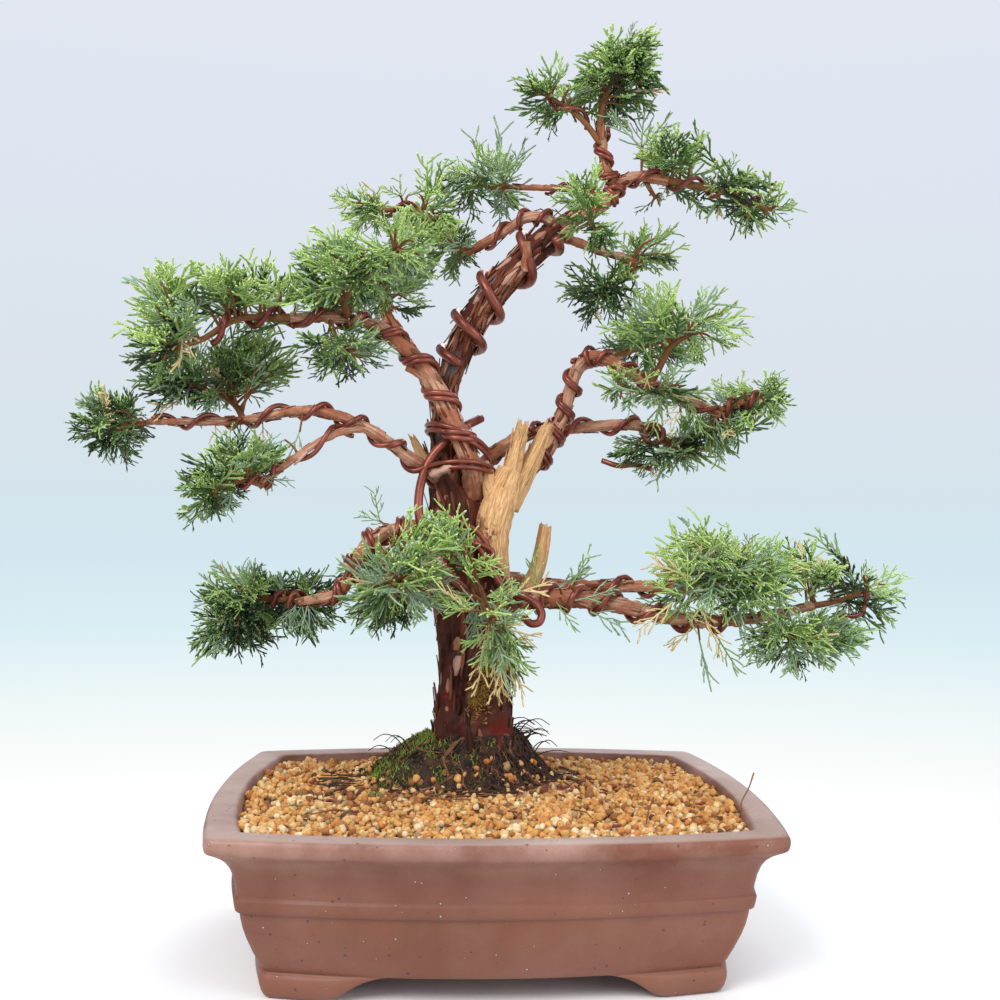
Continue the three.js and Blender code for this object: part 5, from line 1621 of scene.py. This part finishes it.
# shade, deep, mid and the brightest green are lit and shaded copies of one green: painted shade and painted
# light, dealt by how much light reaches each spray; the brightest is also the paler new growth on the outside
leafTones = {
    "shade": srgb(40, 60, 26), "deep": srgb(76, 106, 46), "mid": srgb(132, 161, 92),
    "fresh": srgb(165, 195, 107), "tip": srgb(199, 218, 140), "bluish": srgb(138, 163, 130),
    "straw": srgb(212, 190, 136),
}
# how a mass differs from the rest: its light, its shares of bluish and of straw sprays, its fullness
moods = {
    "apex": (0.04, 0.06, 0.01, 1.5), "apex_left": (0.0, 0.06, 0.01, 1.5),
    "left_big": (0.18, 0.12, 0.01, 0.8), "left_centre": (0.16, 0.26, 0.01, 1.15),
    "left_centre_low": (0.06, 0.34, 0.01, 1.1), "left_under": (-0.02, 0.24, 0.02, 1.2),
    "left_tip": (-0.12, 0.2, 0.01, 1.2), "left_low": (-0.04, 0.2, 0.01, 1.3),
    "low_left": (-0.14, 0.24, 0.01, 1.5), "low_centre": (0.26, 0.45, 0.03, 0.9),
    "front": (0.26, 0.5, 0.14, 0.74), "low_right": (0.16, 0.55, 0.07, 0.42),
    "low_right_tip": (0.2, 0.4, 0.03, 0.44), "low_right_under": (0.06, 0.5, 0.02, 0.85),
    "mid_right_upper": (0.16, 0.36, 0.03, 0.38), "mid_right_inner": (0.14, 0.3, 0.06, 0.8),
    "mid_right_far": (0.08, 0.3, 0.04, 1.05), "mid_right_low": (0.0, 0.34, 0.06, 0.9),
    "upper_left": (0.14, 0.22, 0.01, 0.92), "upper_left_inner": (0.04, 0.45, 0.01, 0.95),
    "under_top": (0.02, 0.2, 0.02, 0.95), "top_right": (0.12, 0.08, 0.01, 1.2),
    "top_centre": (0.12, 0.08, 0.01, 1.35),
}
plainMood = (0.04, 0.14, 0.015, 1.0)
# single sprays that stray from a mass: seat, heading, tone and size
strays = {
    "front": [
        (2, -46, 214, 0.15, -0.2, -1, "straw", 0.85), (-3, -44, 218, -0.3, -0.1, -0.95, "straw", 0.85),
        (8, -46, 208, 0.45, -0.2, -0.9, "straw", 0.85), (4, -48, 228, 0.9, -0.2, -0.3, "straw", 0.85),
        (12, -44, 250, 0.95, -0.2, 0.25, "straw", 0.85), (0, -46, 200, 0.1, 0, -1, "straw", 0.7),
        (37, 12, 250, -0.3, -0.2, 1, "mid", 0.75), (51, 5, 252, 0.9, -0.2, 0.7, "bluish", 0.8),
        (62, 0, 243, 1, -0.2, 0.25, "bluish", 0.85), (73, 0, 235, 1, -0.2, -0.45, "bluish", 0.8),
        (48, 0, 242, 0.6, -0.2, -0.9, "mid", 0.6), (59, 0, 254, 0.5, -0.2, 0.9, "mid", 0.7),
    ],
    "low_right": [
        (128, -26, 244, -0.7, -0.3, -0.5, "straw", 0.85), (141, -26, 262, -0.9, -0.3, 0.3, "straw", 0.85),
        (150, -20, 240, 0.3, -0.2, -0.8, "straw", 0.85), (154, 0, 215, 0.2, -0.2, -1, "bluish", 0.8),
        (146, -5, 224, -0.7, -0.2, -0.7, "straw", 0.7), (164, -5, 221, 0.5, -0.2, -0.9, "mid", 0.8),
        (188, 0, 229, -0.3, -0.2, 0.9, "mid", 0.8), (199, 0, 236, 0.6, -0.2, 0.8, "bluish", 0.9),
        (210, 0, 238, 0.4, -0.2, -0.9, "mid", 0.8), (221, 0, 241, -0.5, -0.2, -0.8, "bluish", 0.8),
        (178, -8, 234, 0.3, -0.2, -0.8, "bluish", 0.85), (232, 0, 242, 0.5, -0.2, 0.9, "mid", 0.8),
        (193, 0, 245, -0.8, -0.2, 0.5, "mid", 0.8),
    ],
    "mid_right_inner": [
        (116, 25, 414, 0.2, -0.2, -1, "straw", 0.7), (130, 20, 404, -0.3, -0.2, -1, "mid", 0.9),
        (142, 20, 399, 0.5, -0.2, -0.9, "mid", 0.9), (135, 20, 409, 0.6, -0.2, 0.6, "mid", 0.8),
        (123, 25, 417, -0.5, -0.2, 0.8, "mid", 0.8), (149, 20, 394, -0.6, -0.2, -0.7, "straw", 0.7),
        (112, 25, 417, -0.8, -0.2, -0.3, "mid", 0.8),
    ],
    "left_low": [
        (-139, 5, 362, -0.3, -0.2, -0.9, "bluish", 0.7), (-149, 0, 356, -0.8, -0.2, -0.4, "bluish", 0.7),
        (-168, 25, 369, 0.1, -0.2, -1, "straw", 0.6), (-184, 25, 368, -0.1, -0.2, -1, "bluish", 0.6),
        (-203, 30, 368, 0.1, -0.2, -1, "straw", 0.55),
    ],
    "low_left": [
        (-81, 25, 299, -0.2, -0.2, 1, "mid", 0.6), (-77, 25, 297, -0.9, -0.2, 0.3, "mid", 0.5),
    ],
    "upper_left_inner": [
        (8, 84, 573, 0, -0.2, 1, "bluish", 1), (15, 84, 575, 0.5, -0.2, 0.9, "bluish", 0.9),
        (2, 84, 574, -0.5, -0.2, 0.9, "bluish", 0.9),
    ],
    "top_right": [
        (115, 46, 589, -0.7, -0.2, 0.6, "bluish", 0.9), (116, 46, 591, 0.6, -0.2, 0.6, "bluish", 0.9),
        (115, 46, 592, 0, -0.2, 1, "bluish", 0.8), (122, 46, 587, 1, -0.2, 0.2, "bluish", 0.8),
    ],
}
# the tone of a spray's twiglets and of their tips
sprayTones = {
    "shade": ("shade", "deep"), "deep": ("deep", "mid"), "mid": ("mid", "fresh"), "fresh": ("fresh", "tip"),
    "bluish": ("bluish", "mid"), "straw": ("straw", "straw"),
}


def addCord(store, start, end, radius, side, bow):
    # a twiglet: three sides, a slight bend, even in width, a blunt point; side faces and tip faces apart
    start, end = np.asarray(start, float), np.asarray(end, float)
    ahead = end - start
    length = np.linalg.norm(ahead)
    ahead = ahead / length
    across = side - ahead * (side @ ahead)
    across /= np.linalg.norm(across)
    up = np.cross(ahead, across)
    blunt = end - ahead * min(1.9, 0.25 * length)
    base = len(store["points"])
    middle = (start + blunt) / 2 + bow * length
    for centre, size in ((start, 0.85 * radius), (middle, 0.95 * radius), (blunt, radius)):
        for i in range(3):
            angle = i / 3 * 2 * math.pi
            store["points"].append(centre + size * (across * math.cos(angle) + up * math.sin(angle)))
    store["points"].append(end)
    for i in range(3):
        j = (i + 1) % 3
        for a in (base, base + 3):
            store["body"] += [(a + i, a + j, a + 3 + j), (a + i, a + 3 + j, a + 3 + i)]
        store["tip"].append((base + 6 + i, base + 6 + j, base + 9))


def makeSprayTemplate(rng, shape):
    # one spray along X, its flat in XY
    store = {"points": [], "body": [], "tip": []}
    length = rng.uniform(*shape["length"])
    curve = rng.uniform(-0.12, 0.12), rng.uniform(-0.05, 0.14)

    def axis(s):
        return np.array([s, curve[0] * s * s / length, curve[1] * s * s / length])

    marks = np.linspace(0, length, 5)
    base = 0
    for k, s in enumerate(marks[:-1]):
        size = shape["axisRadius"] * (1.15 - 0.3 * k / 4)
        for i in range(3):
            angle = i / 3 * 2 * math.pi
            store["points"].append(axis(s) + size * np.array([0, math.cos(angle), math.sin(angle)]))
        if k:
            for i in range(3):
                j = (i + 1) % 3
                a, b = base + 3 * (k - 1), base + 3 * k
                store["body"] += [(a + i, a + j, b + j), (a + i, b + j, b + i)]
    store["points"].append(axis(length))
    for i in range(3):
        store["tip"].append((9 + i, 9 + (i + 1) % 3, 12))
    side, s = 1, 4.0
    while s < length - 5:
        lean = rng.uniform(*shape["twigletLean"])
        roll = rng.normal(0, shape["offPlane"])
        out = np.array([math.cos(lean), side * math.sin(lean) * math.cos(roll),
                        math.sin(lean) * math.sin(roll)])
        reach = rng.uniform(*shape["twigletLength"]) * (1.1 - 0.5 * s / length)
        start = axis(s)
        end = start + out * reach + np.array([0.1 * reach, 0, 0.06 * reach])
        bow = np.array([0, side * rng.uniform(0.0, 0.1), rng.uniform(-0.05, 0.05)])
        addCord(store, start, end, shape["cordRadius"], np.array([0, 0, 1.0]), bow)
        if rng.random() < shape["buds"]:
            budSide = side if rng.random() < 0.6 else -side
            at = start + (end - start) * rng.uniform(0.3, 0.62)
            ahead = out + np.array([0.3, budSide * 0.42, rng.normal(0, 0.3)])
            ahead /= np.linalg.norm(ahead)
            addCord(store, at, at + ahead * rng.uniform(*shape["budLength"]), 0.88 * shape["cordRadius"],
                    np.array([0, 0, 1.0]), np.array([0, -budSide * 0.05, 0]))
        side, s = -side, s + shape["twigletEvery"] * rng.uniform(0.8, 1.2)
    return {key: np.array(value) for key, value in store.items()}


def lobeShare(points, lobes):
    # how far out the points lie in the nearest lobe: 1 is its skin
    shares = [np.linalg.norm((points - np.array(lobe[:3])) / np.array(lobe[3:]), axis=-1) for lobe in lobes]
    return np.min(shares, axis=0)


def limbSamples():
    points, radii = [], []
    for path in [trunkPath, *boughs.values(), *[limb[1] for limb in deadLimbs]]:
        samples, _, sizes, _ = evenLimb(path, 5)
        points.append(samples)
        radii.append(sizes)
    return np.vstack(points), np.concatenate(radii)


limbPoints, limbRadii = limbSamples()


def clearOfLimbs(points):
    # for an array of points by spray, whether each spray keeps clear of the limbs
    flat = points.reshape(-1, 3)
    clear = np.ones(len(flat), bool)
    for start in range(0, len(flat), 4000):
        part = flat[start:start + 4000]
        away = np.linalg.norm(part[:, None] - limbPoints[None], axis=2) - limbRadii[None]
        clear[start:start + 4000] = away.min(axis=1) > growth["clearance"]
    return clear.reshape(points.shape[:-1]).all(axis=-1)


def hidesStem(name, stem, points):
    # for points by spray, whether a spray crosses in front of the stem where that shows
    if name not in bareStems:
        return np.zeros(len(points), bool)
    route, _, radii, _ = evenLimb(stem, 2)
    first, last = (int(share * len(route)) for share in bareStems[name])
    gap = points[:, :, None] - route[None, None, first:last]
    near = np.hypot(gap[..., 0], gap[..., 2]) < radii[first:last] + growth["bareGap"]
    return (near & (gap[..., 1] < 0)).any(axis=(1, 2))


def sprayTips(seat, heading, scale):
    return seat + heading * (growth["sprayReach"] * scale)[:, None]


def growBranchlets(rng, seats, lobes, fullness, blueShare):
    # the branchlets of one mass, and the sprays that each carries
    twigs, sprays = [], []
    for lobe in lobes:
        centre, halves = np.array(lobe[:3], float), np.array(lobe[3:], float)
        area = halves[0] * halves[1] + halves[1] * halves[2] + halves[2] * halves[0]
        count = max(growth["fewest"], round(growth["density"] * area * fullness))
        outward = math.atan2(centre[1] - trunkPath[0][1], centre[0] - trunkPath[0][0])
        for i in range(count):
            height = 1 - 2 * (i + 0.5) / count
            turn = outward + (i - 1) * growth["turn"] + growth["scatter"] * rng.uniform(-1, 1)
            flat = math.sqrt(1 - height * height)
            reach = lerp(*growth["reach"], (rng.random(), 1, 0)[i % 3])
            way = np.array([flat * math.cos(turn), flat * math.sin(turn), height])
            target = centre + halves * reach * way
            seat = seats[np.argmin(np.linalg.norm(seats - target, axis=1))]
            span = np.linalg.norm(target - seat)
            end = lerp(seat, target, max(0.5, 1 - growth["tipGap"] / span))
            bend = lerp(seat, end, 0.5) + np.array([0, 0, growth["bend"] * span])
            path = [(*seat, growth["twigRadius"][0]), (*bend, 0.95), (*end, growth["twigRadius"][1])]
            twigs.append(tubeMesh(path, 4, 3))
            points, headings, _ = sampleLimb(path, 12)
            # each branchlet has its own vigour, lean and tone
            limit, bias = rng.uniform(*growth["limits"]), rng.normal(0, growth["bias"], 3)
            own = (limit, rng.normal(0, growth["tint"]), rng.random() < blueShare,
                   rng.random() < growth["lankShare"] * blueShare)
            places = list(growth["spraySeats"]) + [1.0]
            if span < growth["short"]:
                places = places[1::2] + [1.0]
            for k, share in enumerate(places):
                at = min(int(share * (len(points) - 1)), len(points) - 1)
                ahead = headings[at]
                out = unit((points[at] - centre) / halves)
                side = unit(np.cross(ahead, np.array([0, 0, 1.0])) + 1e-3) * (1 if k % 2 else -1)
                splay = 0 if share == 1.0 else growth["splay"] * rng.uniform(*growth["splayShares"])
                heading = ahead * math.cos(splay) + side * math.sin(splay)
                rise = np.array([0, 0, rng.normal(*growth["lift"])])
                heading = unit(heading + growth["outPull"] * out + bias + rise)
                normal = unit(np.array([0, 0, 1.0]) + rng.normal(0, growth["roll"], 3))
                sprays.append((points[at], heading, normal, (rng.uniform(*growth["scales"]), *own)))
    return twigs, sprays


def fitSprays(name, stem, lobes, seat, heading, scale, limit):
    # a spray that would leave the lobes is shortened, or left out
    for _ in range(3):
        past = lobeShare(sprayTips(seat, heading, scale), lobes) > limit
        scale = np.where(past, scale * growth["shorten"], scale)
    inside = lobeShare(sprayTips(seat, heading, scale), lobes) <= limit * growth["leeway"]
    reachShares = np.linspace(0.25, 1, 4)[None, :, None]
    steps = seat[:, None] + heading[:, None] * (growth["sprayReach"] * scale)[:, None, None] * reachShares
    clear = clearOfLimbs(steps) & ~hidesStem(name, stem, steps)
    # and it stays by the solids' own box
    tips = sprayTips(seat, heading, scale)
    low, high = ((np.array(corner) - potMiddle) / mm for corner in (cadLow, cadHigh))
    boxed = ((tips > low - growth["slack"]) & (tips < high + growth["slack"])).all(axis=1)
    return scale, inside & clear & boxed


# what lightens a spray, the steps from tone to tone, and the shares that turn bluish
shading = {
    "outward": 0.75, "height": 0.45, "scatter": 0.14, "steps": (0.66, 0.9, 1.13),
    "blueAlone": 0.2, "blueTogether": 0.75, "blueBelow": 1.2,
}


def dealTones(rng, lobes, mood, tips, tint, blue):
    # light falls from above and reaches the outside of the mass
    brightness, blueShare, strawShare, _ = mood
    outward = np.clip(lobeShare(tips, lobes), 0, 1.1)
    low, high = tips[:, 2].min(), tips[:, 2].max()
    light = brightness + tint + shading["outward"] * outward
    light = light + shading["height"] * (tips[:, 2] - low) / (high - low)
    light = light + rng.normal(0, shading["scatter"], len(tips))
    # less light, a darker tone: painted shade and painted light
    picks = np.select([light < step for step in shading["steps"]], ["shade", "deep", "mid"], "fresh")
    chance = rng.random(len(tips))
    bluish = chance < shading["blueAlone"] * blueShare + shading["blueTogether"] * blue
    picks = np.where(bluish & (light < shading["blueBelow"]), "bluish", picks)
    return np.where(chance > 1 - strawShare, "straw", picks)


def growMass(name, stem, lobes, seed):
    rng = np.random.default_rng(seed)
    mood = moods.get(name, plainMood)
    seats, _, _ = sampleLimb(stem, 6)
    slim = [(*point, growth["stemShare"] * radius) for *point, radius in stem]
    branchlets, sprays = growBranchlets(rng, seats, lobes, mood[3], mood[1])
    twigs = [tubeMesh(slim, 7, 4), *branchlets]
    seat, heading, normal = (np.array([s[k] for s in sprays]) for k in range(3))
    scale, limit, tint, blue, lank = np.array([s[3] for s in sprays], float).T
    scale, keep = fitSprays(name, stem, lobes, seat, heading, scale, limit)
    # single sprays that stray, each on a thin twig from the nearest wood
    singles = strays.get(name, [])
    spots = np.array([single[:3] for single in singles]).reshape(-1, 3)
    ways = unit(np.array([single[3:6] for single in singles]).reshape(-1, 3))
    wood = np.vstack([limbPoints, seats])
    for spot in spots:
        root = wood[np.argmin(np.linalg.norm(wood - spot, axis=1))]
        middle = lerp(root, spot, 0.5) + [0, 0, 1.5]
        twigs.append(tubeMesh([(*root, 0.9), (*middle, 0.8), (*spot, 0.7)], 4, 3))
    seat, heading = np.vstack([seat[keep], spots]), np.vstack([heading[keep], ways])
    normal = np.vstack([normal[keep], unit([0.2, -1, 0.5] + rng.normal(0, 0.3, (len(singles), 3)))])
    scale = np.append(scale[keep], [single[7] for single in singles])
    tint, blue, lank = (np.append(a[keep], np.full(len(singles), b))
                        for a, b in ((tint, 0), (blue, 0), (lank, 1)))
    picks = dealTones(rng, lobes, mood, sprayTips(seat, heading, scale), tint, blue)
    picks[len(picks) - len(singles):] = [single[6] for single in singles]
    return twigs, (seat, heading, normal, scale, picks, lank > 0.5)


def addLeafPieces(tone, parts, material):
    # one tone's faces, joined into pieces below the limit of 200,000 triangles
    piece, count, pieces = [], 0, []
    for points, faces in parts:
        if count + len(faces) > growth["pieceLimit"]:
            pieces.append(piece)
            piece, count = [], 0
        piece.append((points, faces))
        count += len(faces)
    pieces.append(piece)
    total = 0
    for k, part in enumerate(pieces):
        starts = np.concatenate([[0], np.cumsum([len(p) for p, _ in part])[:-1]])
        index = np.vstack([faces + start for (_, faces), start in zip(part, starts)])
        points = np.vstack([p for p, _ in part])
        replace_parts(addMesh(f"leaves_{tone}_{k + 1}", points, [index], material), *massNodes)
        total += len(index)
    return total


def dropUnused(points, faces):
    # only the points that the faces use
    used, index = np.unique(faces.ravel(), return_inverse=True)
    return points[used], index.reshape(faces.shape)


def makeFoliage():
    rng = np.random.default_rng(3)
    templates = {kind: [makeSprayTemplate(rng, shape) for _ in range(shape["templates"])]
                 for kind, shape in sprayShapes.items()}
    materials = {tone: newMaterial("leaf " + tone, colour, 0.62)[0] for tone, colour in leafTones.items()}
    parts = {tone: [] for tone in leafTones}
    twigs, sprayCount = [], 0
    for k, (name, (stem, lobes)) in enumerate(masses.items()):
        massTwigs, (seat, heading, normal, scale, picks, lank) = growMass(name, stem, lobes, 11 + 7 * k)
        twigs += massTwigs
        sprayCount += len(seat)
        side = unit(np.cross(normal, heading))
        frames = np.stack([heading, side, np.cross(heading, side)], axis=2)
        tight, loose = len(templates["tight"]), len(templates["lank"])
        lankPick = tight + rng.integers(0, loose, len(seat))
        which = np.where(lank, lankPick, rng.integers(0, tight, len(seat)))
        for t, template in enumerate(templates["tight"] + templates["lank"]):
            for kind, (bodyTone, tipTone) in sprayTones.items():
                chosen = (which == t) & (picks == kind)
                if not chosen.any():
                    continue
                for tone, faces in ((bodyTone, template["body"]), (tipTone, template["tip"])):
                    points, index = dropUnused(template["points"], faces)
                    parts[tone].append(copyMesh(points, index, seat[chosen], frames[chosen], scale[chosen]))
    total = sum(addLeafPieces(tone, parts[tone], materials[tone]) for tone in leafTones)
    joined = joinLimbs("twigs", twigs, twigBark)
    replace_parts(joined, *massNodes)
    print("foliage made:", sprayCount, "sprays,", total, "leaf triangles,",
          len(joined.data.polygons), "twig faces")


makeFoliage()


# The table

def addFloor():
    bpy.ops.mesh.primitive_circle_add(vertices=64, radius=view["floorRadius"], fill_type="NGON")
    floor = bpy.context.object
    floor.name = "floor"
    floor.data.materials.append(newMaterial("table", (*view["floor"], 1.0), 0.6)[0])


addFloor()
print("floor made")
